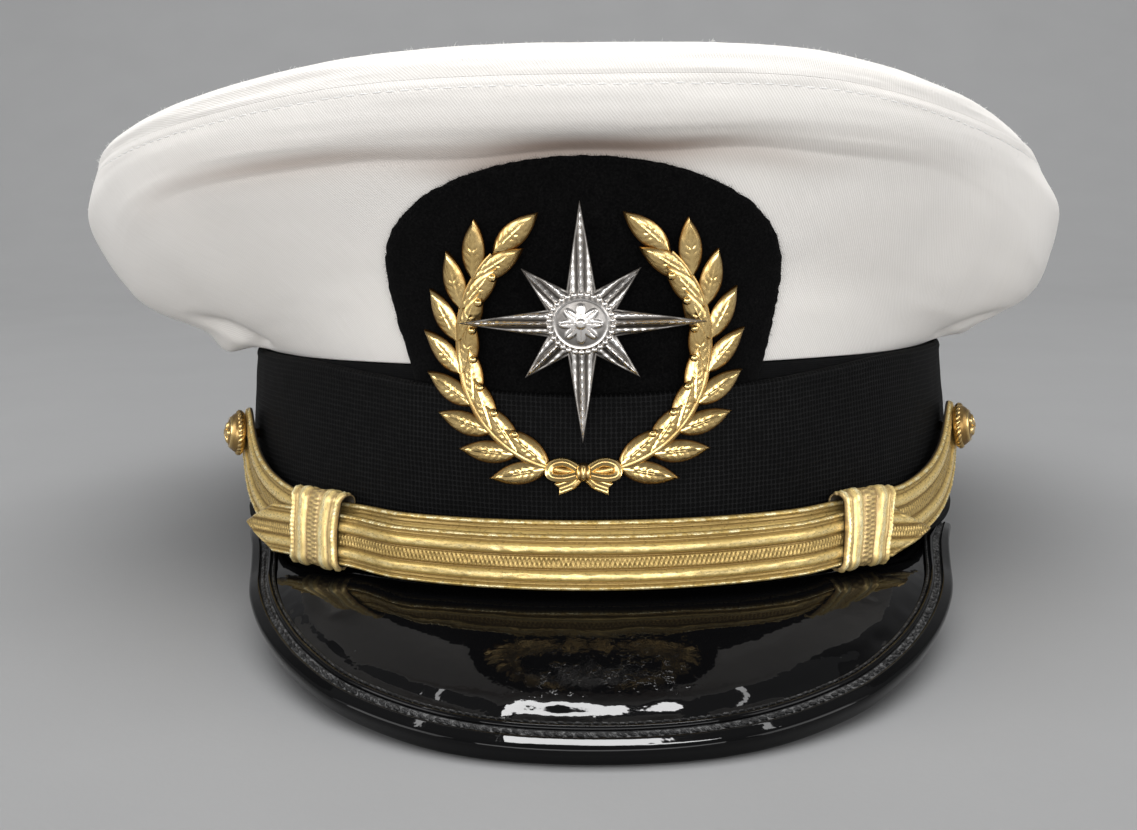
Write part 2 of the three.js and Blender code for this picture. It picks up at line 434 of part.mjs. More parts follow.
function wreath() {
  const shape = new THREE.Shape();
  shape.moveTo(0, 0);
  shape.quadraticCurveTo(WREATH.leafWidth * 0.75, WREATH.leafLength * 0.42, 0, WREATH.leafLength);
  shape.quadraticCurveTo(-WREATH.leafWidth * 0.75, WREATH.leafLength * 0.42, 0, 0);
  const leaf = new THREE.ExtrudeGeometry(shape, { depth: BADGE.plate, bevelEnabled: false, curveSegments: 4 });
  const onStem = (t, side) => V(side * WREATH.radius * Math.sin(t), WREATH.lift - WREATH.radius * WREATH.stretch * Math.cos(t), 0);
  const pieces = [];
  for (const side of [-1, 1]) {
    const path = new THREE.CatmullRomCurve3(steps(0, WREATH.lastAngle * RAD, 10).map((t) => onStem(t, side).setZ(BADGE.plate / 2)));
    const section = new THREE.Shape([[-1, -1], [1, -1], [1, 1], [-1, 1]].map(([x, y]) => new THREE.Vector2((x * BADGE.plate) / 2.4, (y * WREATH.stem) / 2)));
    pieces.push(new THREE.ExtrudeGeometry(section, { steps: 18, extrudePath: path }));
    steps(WREATH.firstAngle, WREATH.lastAngle, WREATH.leaves - 1).forEach((d, k) => {
      const t = d * RAD, p = onStem(t, side);
      const ahead = Math.atan2(-side * Math.cos(t) * WREATH.radius, WREATH.radius * WREATH.stretch * Math.sin(t));
      for (const swing of k === WREATH.leaves - 1 ? [0] : [-1, 1])
        pieces.push(leaf.clone().rotateZ(ahead + swing * WREATH.spread * RAD).translate(p.x, p.y, 0.03 * k * (swing + 1.5) * 0.1));
    });
  }
  pieces.push(new THREE.CylinderGeometry(WREATH.knotRadius, WREATH.knotRadius, BADGE.plate * 1.1, 14).rotateX(Math.PI / 2).translate(0, WREATH.lift - WREATH.radius * WREATH.stretch, BADGE.plate * 0.56));
  return bend(join(...pieces));
}

// ---------------------------------------------------------------- assembly
const cap = new THREE.Group();
function piece(name, geometry, material) {
  const mesh = new THREE.Mesh(geometry, material);
  mesh.name = name;
  cap.add(mesh);
  return mesh;
}
const throughBoth = [-1, 1].map((s) => buttonHole(s));
const bandMesh = piece("band", cut(band(), ...[-1, 1].map((s) => buttonSeat(s, BUTTON_DEPTH))), BLACK_CLOTH);
piece("braid", cut(braid(), ...throughBoth), BLACK_BRAID);
piece("crown_side", crownSide(), WHITE_TWILL);
piece("crown_top", crownTop(), WHITE_TWILL);
piece("badge_tab", badgeTab(), BLACK_FELT);
piece("visor", visor(), BLACK_PATENT);
const bindingMesh = piece("visor_binding", binding(), BLACK_PATENT);
piece("strap_back", cut(strapBack(), ...throughBoth), GOLD_LACE);
piece("strap_front", strapFront(), GOLD_LACE);
for (const s of STRAP_SIDES) piece(`keeper_${s.name}`, keeper(s), GOLD_LACE);
piece("button_left", button(-1), GOLD_METAL);
piece("button_right", button(1), GOLD_METAL);
piece("badge_star", star(), SILVER_METAL);
piece("badge_wreath", wreath(), GOLD_METAL);

// Set down at rest: lean back until the visor's edge and the back of the band are level, then flatten both on the table.
const lowest = (mesh, lean) => {
  const p = mesh.geometry.attributes.position, s = Math.sin(lean), c = Math.cos(lean);
  let low = Infinity;
  for (let i = 0; i < p.count; i++) low = Math.min(low, p.getZ(i) * c - p.getY(i) * s);
  return low;
};
let [lean, most] = [0, 20 * RAD];
for (let k = 0; k < 40; k++) {
  const mid = (lean + most) / 2;
  if (lowest(bindingMesh, mid) < lowest(bandMesh, mid)) lean = mid;
  else most = mid;
}
const table = lowest(bandMesh, lean) + SINK;
const below = new THREE.BoxGeometry(600, 600, 60).translate(0, 0, table - 30).rotateX(lean);
for (const m of [bandMesh, bindingMesh]) m.geometry = cut(m.geometry, below);

cap.rotation.x = -lean;
const root = new THREE.Group();
root.add(cap);
root.updateMatrixWorld(true);
const box = new THREE.Box3().setFromObject(root, true), middle = box.getCenter(V());
cap.position.set(-middle.x, -middle.y, -table);
root.name = "peaked_cap";
root.userData = { lean_degrees: lean / RAD, position: cap.position.toArray() };
for (const m of cap.children) m.geometry.computeVertexNormals();

export default root;
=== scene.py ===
import math
import bpy
import numpy as np
from mathutils import Matrix, Vector


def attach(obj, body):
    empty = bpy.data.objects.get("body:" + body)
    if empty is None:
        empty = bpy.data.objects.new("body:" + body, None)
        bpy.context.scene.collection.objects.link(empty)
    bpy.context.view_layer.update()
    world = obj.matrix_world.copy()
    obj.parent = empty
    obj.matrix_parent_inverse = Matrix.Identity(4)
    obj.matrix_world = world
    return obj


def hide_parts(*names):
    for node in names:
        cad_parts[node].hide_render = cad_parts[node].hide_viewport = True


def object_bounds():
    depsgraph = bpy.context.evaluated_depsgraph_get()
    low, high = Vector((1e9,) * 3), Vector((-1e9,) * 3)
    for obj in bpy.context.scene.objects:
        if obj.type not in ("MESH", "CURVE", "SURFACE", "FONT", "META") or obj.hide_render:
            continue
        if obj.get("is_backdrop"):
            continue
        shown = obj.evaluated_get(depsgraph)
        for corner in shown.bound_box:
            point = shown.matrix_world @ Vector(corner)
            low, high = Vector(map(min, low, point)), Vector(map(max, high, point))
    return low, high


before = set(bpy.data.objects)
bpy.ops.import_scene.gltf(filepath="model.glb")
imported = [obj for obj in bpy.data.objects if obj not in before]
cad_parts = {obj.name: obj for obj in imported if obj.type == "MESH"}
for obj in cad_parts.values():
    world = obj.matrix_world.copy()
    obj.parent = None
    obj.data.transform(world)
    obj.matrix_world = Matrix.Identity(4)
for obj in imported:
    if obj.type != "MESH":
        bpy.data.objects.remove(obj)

CAD_BOX = [[float(x) for x in corner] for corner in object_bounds()]

# The looks of a peaked cap. Every shape is drawn upright in the cap's own frame, in millimetres, from the same tables
# as the solids, and then set down as it rests on the table.
# ---------------------------------------------------------------- sizes
GAP = 0.3
LEAN = math.radians(4.317862038988096)
SET_DOWN = np.array([5.593280792236328, 7.141045593155226, 7.605986882280894])
DEG = math.pi / 180

BAND_HEIGHT, BAND_WALL, FOOT_WIDTH, FOOT_LENGTH, TAPER = 42.0, 3.0, 87.5, 107.0, 3.5
BRAID = dict(wall=1.5, foot=1.2, top=41.3, dip=3.8, dip_angle=46, bulge_angle=23, bulge_fade=9)
# angle; then out and up of the belly, crease, shoulder, seam, rim and edge of the crown
CROWN = [
    (0, 2.2, 62, 7.2, 82.2, 13.3, 87.2, 14.5, 94.9, 13.6, 99, 9, 101.3),
    (25, 3, 60, 13.2, 81.4, 16.5, 87.0, 17.3, 94.4, 16.3, 98.4, 11.5, 100.4),
    (45, 6.5, 56, 20.6, 78.0, 23.2, 84.2, 23.7, 89.8, 22.7, 93.4, 18, 95.2),
    (57, 11, 52, 25.6, 70.5, 28, 79.4, 28, 86, 26.3, 89.2, 21, 90.8),
    (70, 17, 49, 28, 57.5, 33.3, 71.5, 29.8, 82.6, 27.8, 85.6, 22.3, 87.1),
    (100, 17.5, 48, 28, 56, 33, 68, 29.4, 77, 27.4, 80, 22, 81.5),
    (140, 15, 47.3, 26, 53.5, 31.5, 63, 29, 70.5, 27, 73.5, 21.5, 75),
    (180, 13.5, 47, 24, 52.5, 29.5, 61, 27.5, 68, 25.5, 71, 20, 72.5),
]
CLOTH = dict(wall=1.8, hem_out=-0.5, hem_lift=0.4, lean=-7.2, lean_height=34, lean_from=14, lean_over=44, centre_z=88.5, centre_y=4)
PANEL = [(0.8, 0.72), (0.5, 0.36), (0.22, 0.1), (0, 0)]
TAB = dict(wall=1.5, clear=0.5, shift=-2.3, centre_z=58.4, half=35.5, above=22.9, below=46.5, tuck=33)
# angle; reach, drop and sink of the visor
VISOR = [(0, 41.5, 15.7, 0), (10, 40.2, 15.1, 0), (20, 34.6, 13, 0), (27, 28.7, 10.6, 0), (34, 22.2, 7.9, 0.1), (42, 14.8, 4.9, 0.4), (50, 7.8, 2.3, 0.9), (57, 3.6, 1, 1.3), (64, 1.4, 0.3, 1.5)]
# angle; height of the front lace, height of the back lace, how far the back lace stands off
STRAP_LINE = [(0, 6.5, 8, 0), (24, 6.7, 8, 0), (36, 7, 8.1, 0), (41, 6.8, 8.5, 0.1), (45, 6.5, 8.8, 0.5), (50, 6, 10.3, 0.8), (55, 5.4, 12.7, 0.9), (60, 5.2, 16.6, 0.8), (65, 5.2, 23, 0.7), (71, 5.2, 30.5, 0.7)]
STRAP = dict(front=10.4, back=12.4, back_wall=1.3, off=1.0, between=0.4, tip=0.15, tip_width=0.5, back_end=67.6, round_end=2.9)
SIDES = [("left", -1, 55.4, 38.0), ("right", 1, 47.7, 34.6)]
BUTTON_AT = 65.0
BADGE = dict(shift=-2.6, middle=47.5, clear=0.5, plate=1.2, cross=0.7)


# ---------------------------------------------------------------- helpers
def clamp01(t):
    return np.clip(t, 0.0, 1.0)


def ease(t):
    t = clamp01(t)
    return t * t * (3 - 2 * t)


def unit(v):
    return v / np.maximum(np.linalg.norm(v, axis=-1, keepdims=True), 1e-12)


def bell(x, middle, width):
    return np.exp(-(((x - middle) / width) ** 2))


def column(table, k):
    """One column of a table as a smooth even function of the angle."""
    at = np.array([r[0] for r in table], float)
    val = np.array([r[k] for r in table], float)
    after = (360 - at[-2], val[-2]) if at[-1] == 180 else (2 * at[-1] - at[-2], 2 * val[-1] - val[-2])
    A, B = np.r_[-at[1], at, after[0]], np.r_[val[1], val, after[1]]

    def f(phi):
        d = np.minimum(np.abs(phi) / DEG, at[-1])
        i = np.clip(np.searchsorted(A, d, side="left") - 1, 1, len(A) - 3)
        w = A[i + 1] - A[i]
        t = (d - A[i]) / w
        ma, mb = (B[i + 1] - B[i - 1]) / (A[i + 1] - A[i - 1]) * w, (B[i + 2] - B[i]) / (A[i + 2] - A[i]) * w
        return (2 * t**3 - 3 * t**2 + 1) * B[i] + (t**3 - 2 * t**2 + t) * ma + (3 * t**2 - 2 * t**3) * B[i + 1] + (t**3 - t**2) * mb

    return f


LATTICES = {}


def noise(x, y, seed, wrap=None):
    """Smooth seeded noise from -1 to 1 with cells of size 1; wrap repeats it every so many cells of x."""
    if seed not in LATTICES:
        LATTICES[seed] = np.random.default_rng(seed).random((512, 256)) * 2 - 1
    L = LATTICES[seed]
    x, y = np.broadcast_arrays(np.asarray(x, float), np.asarray(y, float))
    i, j = np.floor(x).astype(int), np.floor(y).astype(int)
    fx, fy = x - i, y - j
    fx, fy = fx**3 * (fx * (fx * 6 - 15) + 10), fy**3 * (fy * (fy * 6 - 15) + 10)
    m = wrap or 512
    i0, i1, j0, j1 = i % m, (i + 1) % m, j % 256, (j + 1) % 256
    return (L[i0, j0] * (1 - fx) + L[i1, j0] * fx) * (1 - fy) + (L[i0, j1] * (1 - fx) + L[i1, j1] * fx) * fy


def round_noise(phi, y, cells, seed):
    """The same, repeating once round the cap."""
    return noise((phi + math.pi) / (2 * math.pi) * cells, y, seed, wrap=cells)


def placed(p):
    """From the cap's own frame in millimetres to the row frame in metres, flattened where it meets the table."""
    c, s = math.cos(LEAN), math.sin(LEAN)
    q = np.stack([p[:, 0], p[:, 1] * c + p[:, 2] * s, -p[:, 1] * s + p[:, 2] * c], -1) + SET_DOWN
    q[:, 2] = np.maximum(q[:, 2], 0.0)
    return q * 0.001


class Shape:
    """The corners and faces of one piece."""

    def __init__(self):
        self.p, self.tone, self.quads, self.quv, self.tris, self.tuv, self.n = [], [], [], [], [], [], 0

    def corners(self, P, tone=1.0):
        P = np.asarray(P, float).reshape(-1, 3)
        self.p.append(P)
        self.tone.append(np.broadcast_to(np.asarray(tone, float).reshape(-1), (len(P),)) if np.size(tone) in (1, len(P)) else np.ones(len(P)))
        self.n += len(P)
        return self.n - len(P)

    def quad(self, ids, uv):
        self.quads.append(np.asarray(ids).reshape(-1, 4)), self.quv.append(np.asarray(uv, float).reshape(-1, 4, 2))

    def tri(self, ids, uv):
        self.tris.append(np.asarray(ids).reshape(-1, 3)), self.tuv.append(np.asarray(uv, float).reshape(-1, 3, 2))

    def grid(self, P, UV, ring_u=False, ring_v=False, tone=1.0, flip=False):
        """A sheet of corners P[u, v]; UV has one more row or column where the sheet closes on itself."""
        nu, nv = P.shape[:2]
        base = self.corners(P, tone)
        I, J = np.meshgrid(np.arange(nu if ring_u else nu - 1), np.arange(nv if ring_v else nv - 1), indexing="ij")
        I2, J2 = (I + 1) % nu, (J + 1) % nv
        ids = np.stack([I * nv + J, I2 * nv + J, I2 * nv + J2, I * nv + J2], -1) + base
        uv = np.stack([UV[I, J], UV[I + 1, J], UV[I + 1, J + 1], UV[I, J + 1]], -2)
        if flip:
            ids, uv = ids[..., ::-1], uv[..., ::-1, :]
        self.quad(ids, uv)
        return base

    def fan(self, ids, middle, uv, tone=1.0, flip=False):
        """Closes a ring of corners with one more corner."""
        m = self.corners([middle], tone)
        ids = np.asarray(ids)
        a, b = ids, np.roll(ids, -1)
        f = np.stack([b, a, np.full(len(ids), m)], -1) if flip else np.stack([a, b, np.full(len(ids), m)], -1)
        self.tri(f, np.broadcast_to(np.asarray(uv, float), (len(ids), 3, 2)))

    def loft(self, P, UV, ring=False, tone=1.0):
        """A closed section P[u] carried along u, which closes on itself or ends in flat caps."""
        nu, nv = P.shape[:2]
        base = self.grid(P, UV, ring_u=ring, ring_v=True, tone=tone)
        if not ring:
            t = np.broadcast_to(np.asarray(tone, float), (nu, nv)) if np.size(tone) > 1 else np.full((nu, nv), float(tone))
            self.fan(base + np.arange(nv), P[0].mean(0), UV[0].mean(0), t[0].mean(), flip=False)
            self.fan(base + (nu - 1) * nv + np.arange(nv), P[-1].mean(0), UV[-1].mean(0), t[-1].mean(), flip=True)

    def strands(self, root, direction, length, radius, rng, bend=0.5, sides=3, segments=3):
        """Many short bent fibres, each a thin closed tube."""
        n = len(root)
        side = unit(np.cross(direction, rng.normal(size=(n, 3))))
        other = unit(np.cross(direction, side))
        curl = rng.normal(0, bend, (n, 1)) * side + rng.normal(0, bend, (n, 1)) * other
        t = np.linspace(0, 1, segments + 1)
        P = root[:, None] + length[:, None, None] * (t[None, :, None] * direction[:, None] + (t**2)[None, :, None] * curl[:, None])
        a = np.arange(sides) * 2 * math.pi / sides
        r = radius[:, None] * (1 - 0.75 * t)[None]
        ring = P[:, :, None] + r[..., None, None] * (np.cos(a)[None, None, :, None] * side[:, None, None] + np.sin(a)[None, None, :, None] * other[:, None, None])
        base = self.corners(ring)
        k, s, c = np.meshgrid(np.arange(n), np.arange(segments), np.arange(sides), indexing="ij")
        c2 = (c + 1) % sides
        at = lambda S, Cc: base + (k * (segments + 1) + S) * sides + Cc
        ids = np.stack([at(s, c), at(s, c2), at(s + 1, c2), at(s + 1, c)], -1).reshape(-1, 4)
        self.quad(ids, np.zeros((len(ids), 4, 2)))
        first = base + np.arange(n)[:, None] * (segments + 1) * sides + np.arange(sides)[None]
        last = first + segments * sides
        self.tri(first[:, [0, 2, 1]], np.zeros((n, 3, 2))), self.tri(last[:, [0, 1, 2]], np.zeros((n, 3, 2)))

    def threads(self, path, up, radius, sides=6):
        """Sewn stitches: a fat tube along each path P[k, t], thin at both ends."""
        n, m = path.shape[:2]
        along = unit(np.gradient(path, axis=1))
        up = unit(up[:, None] - (along * up[:, None]).sum(-1, keepdims=True) * along)
        across = np.cross(along, up)
        t = np.linspace(-1, 1, m)
        r = radius * np.sqrt(np.maximum(0.06, 1 - t**4))
        a = np.arange(sides) * 2 * math.pi / sides
        ring = path[:, :, None] + r[None, :, None, None] * (np.cos(a)[None, None, :, None] * across[:, :, None] + np.sin(a)[None, None, :, None] * up[:, :, None])
        base = self.corners(ring)
        k, s, c = np.meshgrid(np.arange(n), np.arange(m - 1), np.arange(sides), indexing="ij")
        c2 = (c + 1) % sides
        at = lambda S, Cc: base + (k * m + S) * sides + Cc
        ids = np.stack([at(s, c), at(s, c2), at(s + 1, c2), at(s + 1, c)], -1).reshape(-1, 4)
        uv = np.stack([np.stack([s, c], -1), np.stack([s, c + 1], -1), np.stack([s + 1, c + 1], -1), np.stack([s + 1, c], -1)], -2).reshape(-1, 4, 2)
        self.quad(ids, uv * 0.3)
        first = base + np.arange(n)[:, None] * m * sides + np.arange(sides)[None]
        last = first + (m - 1) * sides
        for j in range(1, sides - 1):
            self.tri(first[:, [0, j + 1, j]], np.zeros((n, 3, 2))), self.tri(last[:, [0, j, j + 1]], np.zeros((n, 3, 2)))


def build(shape, name, material, nodes=(), sharp=None):
    """Makes the piece, turned outwards, riding on the part's body in place of its CAD nodes."""
    p = np.concatenate(shape.p)
    quads = np.concatenate(shape.quads) if shape.quads else np.zeros((0, 4), int)
    tris = np.concatenate(shape.tris) if shape.tris else np.zeros((0, 3), int)
    quv = np.concatenate(shape.quv) if shape.quads else np.zeros((0, 4, 2))
    tuv = np.concatenate(shape.tuv) if shape.tris else np.zeros((0, 3, 2))
    halves = np.concatenate([quads[:, [0, 1, 2]], quads[:, [0, 2, 3]], tris])
    a, b, c = p[halves[:, 0]], p[halves[:, 1]], p[halves[:, 2]]
    if (a * np.cross(b, c)).sum() < 0:
        quads, quv, tris, tuv = quads[:, ::-1], quv[:, ::-1], tris[:, ::-1], tuv[:, ::-1]
    co = placed(p)
    me = bpy.data.meshes.new(name)
    me.vertices.add(len(co))
    me.vertices.foreach_set("co", co.astype(np.float32).ravel())
    loops = np.concatenate([quads.ravel(), tris.ravel()]).astype(np.int32)
    me.loops.add(len(loops))
    me.loops.foreach_set("vertex_index", loops)
    starts = np.concatenate([np.arange(len(quads)) * 4, len(quads) * 4 + np.arange(len(tris)) * 3]).astype(np.int32)
    me.polygons.add(len(starts))
    me.polygons.foreach_set("loop_start", starts)
    me.update(calc_edges=True)
    layer = me.uv_layers.new(name="mm")
    layer.uv.foreach_set("vector", np.concatenate([quv.reshape(-1, 2), tuv.reshape(-1, 2)]).astype(np.float32).ravel())
    tone = me.attributes.new("tone", "FLOAT", "POINT")
    tone.data.foreach_set("value", np.concatenate(shape.tone).astype(np.float32))
    me.polygons.foreach_set("use_smooth", np.ones(len(starts), bool))
    me.validate()
    if sharp:
        me.set_sharp_from_angle(angle=sharp * DEG)
    ob = bpy.data.objects.new(name, me)
    bpy.context.scene.collection.objects.link(ob)
    me.materials.append(material)
    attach(ob, "root")
    if nodes:
        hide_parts(*nodes)
    return ob


# ---------------------------------------------------------------- surfaces
def on_band(phi, z, out):
    phi, z, out = np.broadcast_arrays(np.asarray(phi, float), np.asarray(z, float), np.asarray(out, float))
    inset = TAPER * np.clip(z, 0, BAND_HEIGHT) / BAND_HEIGHT
    a, b = FOOT_WIDTH - inset, FOOT_LENGTH - inset
    s, c = np.sin(phi), np.cos(phi)
    n = unit(np.stack([s / a, -c / b], -1))
    return np.stack([a * s + n[..., 0] * out, -b * c + n[..., 1] * out, z], -1)


def braid_bulge(phi):
    return (TAB["wall"] + GAP + 0.2) * (1 - ease((np.abs(phi) / DEG - BRAID["bulge_angle"]) / BRAID["bulge_fade"]))


def braid_out(phi):
    return GAP + BRAID["wall"] + braid_bulge(phi)


def braid_top(phi):
    return BRAID["top"] - BRAID["dip"] * (1 - ease(np.abs(phi) / DEG / BRAID["dip_angle"]))


CROWN_COLUMNS = [column(CROWN, k) for k in range(1, 13)]
crease_z = CROWN_COLUMNS[3]


def crown_point(phi, out, z):
    p = on_band(phi, z, out)
    shift = CLOTH["lean"] * clamp01((z - BAND_HEIGHT) / CLOTH["lean_height"]) * ease((np.abs(phi) / DEG - CLOTH["lean_from"]) / CLOTH["lean_over"])
    p[..., 0] += shift
    return p


def crown_knots(phi):
    """The points that the crown's line passes through, from its hem to the middle of the top panel."""
    values = [f(phi) for f in CROWN_COLUMNS]
    deg = phi / DEG
    values[3] = values[3] + 0.7 * bell(deg, 18, 8) + 0.5 * bell(deg, 42, 10) - 0.5 * bell(deg, -36, 12) - 0.9 * bell(deg, -15, 7) - 0.4 * bell(deg, 7, 6)  # the crease isn't quite even
    pts = [crown_point(phi, np.full_like(phi, CLOTH["hem_out"]), np.full_like(phi, BAND_HEIGHT + CLOTH["hem_lift"]))]
    pts += [crown_point(phi, values[2 * k], values[2 * k + 1]) for k in range(6)]
    edge, middle = pts[-1], np.array([CLOTH["lean"], CLOTH["centre_y"], CLOTH["centre_z"]])
    for share, follow in PANEL:
        pts.append(middle + (edge - middle) * np.array([share, share, follow]))
    return np.stack(pts, -2)


def on_crown(phi, v):
    """Centripetal curve through the knots; whole numbers of v are the knots."""
    phi, v = np.broadcast_arrays(np.asarray(phi, float), np.asarray(v, float))
    shape = phi.shape
    K = crown_knots(phi.ravel())
    x = np.clip(v.ravel(), 0, 10)
    i = np.minimum(np.floor(x).astype(int), 9)
    t = (x - i)[:, None]
    row = np.arange(len(i))
    p1, p2 = K[row, i], K[row, i + 1]
    p0 = np.where((i > 0)[:, None], K[row, np.maximum(i - 1, 0)], 2 * K[:, 0] - K[:, 1])
    p3 = np.where((i < 9)[:, None], K[row, np.minimum(i + 2, 10)], 2 * K[:, 10] - K[:, 9])
    d = lambda a, b: np.maximum(((a - b) ** 2).sum(-1, keepdims=True) ** 0.25, 0)
    d0, d1, d2 = d(p0, p1), d(p1, p2), d(p2, p3)
    d1 = np.where(d1 < 1e-4, 1.0, d1)
    d0, d2 = np.where(d0 < 1e-4, d1, d0), np.where(d2 < 1e-4, d1, d2)
    m1 = ((p1 - p0) / d0 - (p2 - p0) / (d0 + d1) + (p2 - p1) / d1) * d1
    m2 = ((p2 - p1) / d1 - (p3 - p1) / (d1 + d2) + (p3 - p2) / d2) * d1
    q = p1 + m1 * t + (-3 * p1 + 3 * p2 - 2 * m1 - m2) * t**2 + (2 * p1 - 2 * p2 + m1 + m2) * t**3
    return q.reshape(shape + (3,))


def crown_normal(phi, v, e=1e-3):
    du = on_crown(phi + e, v) - on_crown(phi - e, v)
    dv = on_crown(phi, v + e) - on_crown(phi, v - e)
    return unit(np.cross(du, dv))


def crown_out(phi, z):
    lo, hi = np.zeros_like(z), np.full_like(z, 2.0)
    for _ in range(24):
        mid = (lo + hi) / 2
        low = on_crown(phi, mid)[..., 2] < z
        lo, hi = np.where(low, mid, lo), np.where(low, hi, mid)
    q = on_band(phi, z, 0)
    return ((on_crown(phi, lo) - q) * (on_band(phi, z, 1) - q)).sum(-1)


def tab_out(phi, z):
    phi, z = np.broadcast_arrays(np.asarray(phi, float), np.asarray(z, float))
    stand = np.maximum(0, crown_out(phi, np.minimum(np.maximum(z, BAND_HEIGHT), crease_z(phi))) + TAB["clear"] - GAP) * ease((z - BAND_HEIGHT) / 8)
    return GAP + np.where(z > BAND_HEIGHT, stand, 0)


FRONT_RADIUS = (FOOT_WIDTH - TAPER) ** 2 / (FOOT_LENGTH - TAPER)


def on_tab(across, z, out):
    phi = (across + TAB["shift"]) / (FRONT_RADIUS * 1.18)
    return on_band(phi, z, tab_out(phi, z) + out)


BADGE_Z = np.linspace(0, 100, 401)
BADGE_LEAN = np.maximum(0, tab_out(np.zeros_like(BADGE_Z), BADGE_Z))


def on_badge(p):
    """A flat design bent on to the front of the cap: x across, y up from the badge's middle, z out."""
    z = BADGE["middle"] + p[..., 1] * 0.985
    phi = (p[..., 0] + BADGE["shift"]) / (FRONT_RADIUS * 1.3)
    return on_band(phi, z, TAB["wall"] + GAP + BRAID["wall"] + BADGE["clear"] + np.interp(z, BADGE_Z, BADGE_LEAN) + p[..., 2])


REACH, DROP, SINK = [column(VISOR, k) for k in (1, 2, 3)]
VISOR_END = 64 * DEG


def thinning(phi):
    return ease((np.abs(phi) / DEG - 42) / 16)


def visor_wall(u):
    return 2 - 0.7 * thinning(u * VISOR_END)


def on_visor(u, v):
    u, v = np.broadcast_arrays(np.asarray(u, float), np.asarray(v, float))
    phi = u * VISOR_END
    reach = REACH(phi)
    d = -2.6 + (reach + 2.6) * v
    share = np.maximum(0, d) / reach
    p = on_band(phi, np.zeros_like(phi), d)
    level = 1.2 * ease(d / 4) * (1 - share) ** 2 * (1 - ease((np.abs(phi) / DEG - 30) / 20))
    level = level + 2.4 * ease((np.abs(phi) / DEG - 47) / 14)  # its ends rise beside the band
    p[..., 2] = level - GAP - SINK(phi) - DROP(phi) * (0.35 * share + 0.65 * share**2)
    return p


LEVEL_Z, BACK_Z, STAND_OFF = [column(STRAP_LINE, k) for k in (1, 2, 3)]


def FRONT_Z(phi):
    """The front lace's height; its right end hangs a little."""
    return LEVEL_Z(phi) - 1.3 * ease((np.asarray(phi) / DEG - 34) / 12)


def on_strap(line, phi, across, out, e=1e-3):
    phi, across, out = np.broadcast_arrays(np.asarray(phi, float), np.asarray(across, float), np.asarray(out, float))
    at = lambda u: on_band(u, line(u), braid_out(u) + STRAP["off"] + STAND_OFF(u))
    along = unit(at(phi + e) - at(phi - e))
    rise = on_band(phi, np.full_like(phi, 2.0), 0) - on_band(phi, np.full_like(phi, 1.0), 0)
    outward = unit(np.cross(along, rise))
    up = unit(np.cross(outward, along))
    return at(phi) + up * across[..., None] + outward * out[..., None]


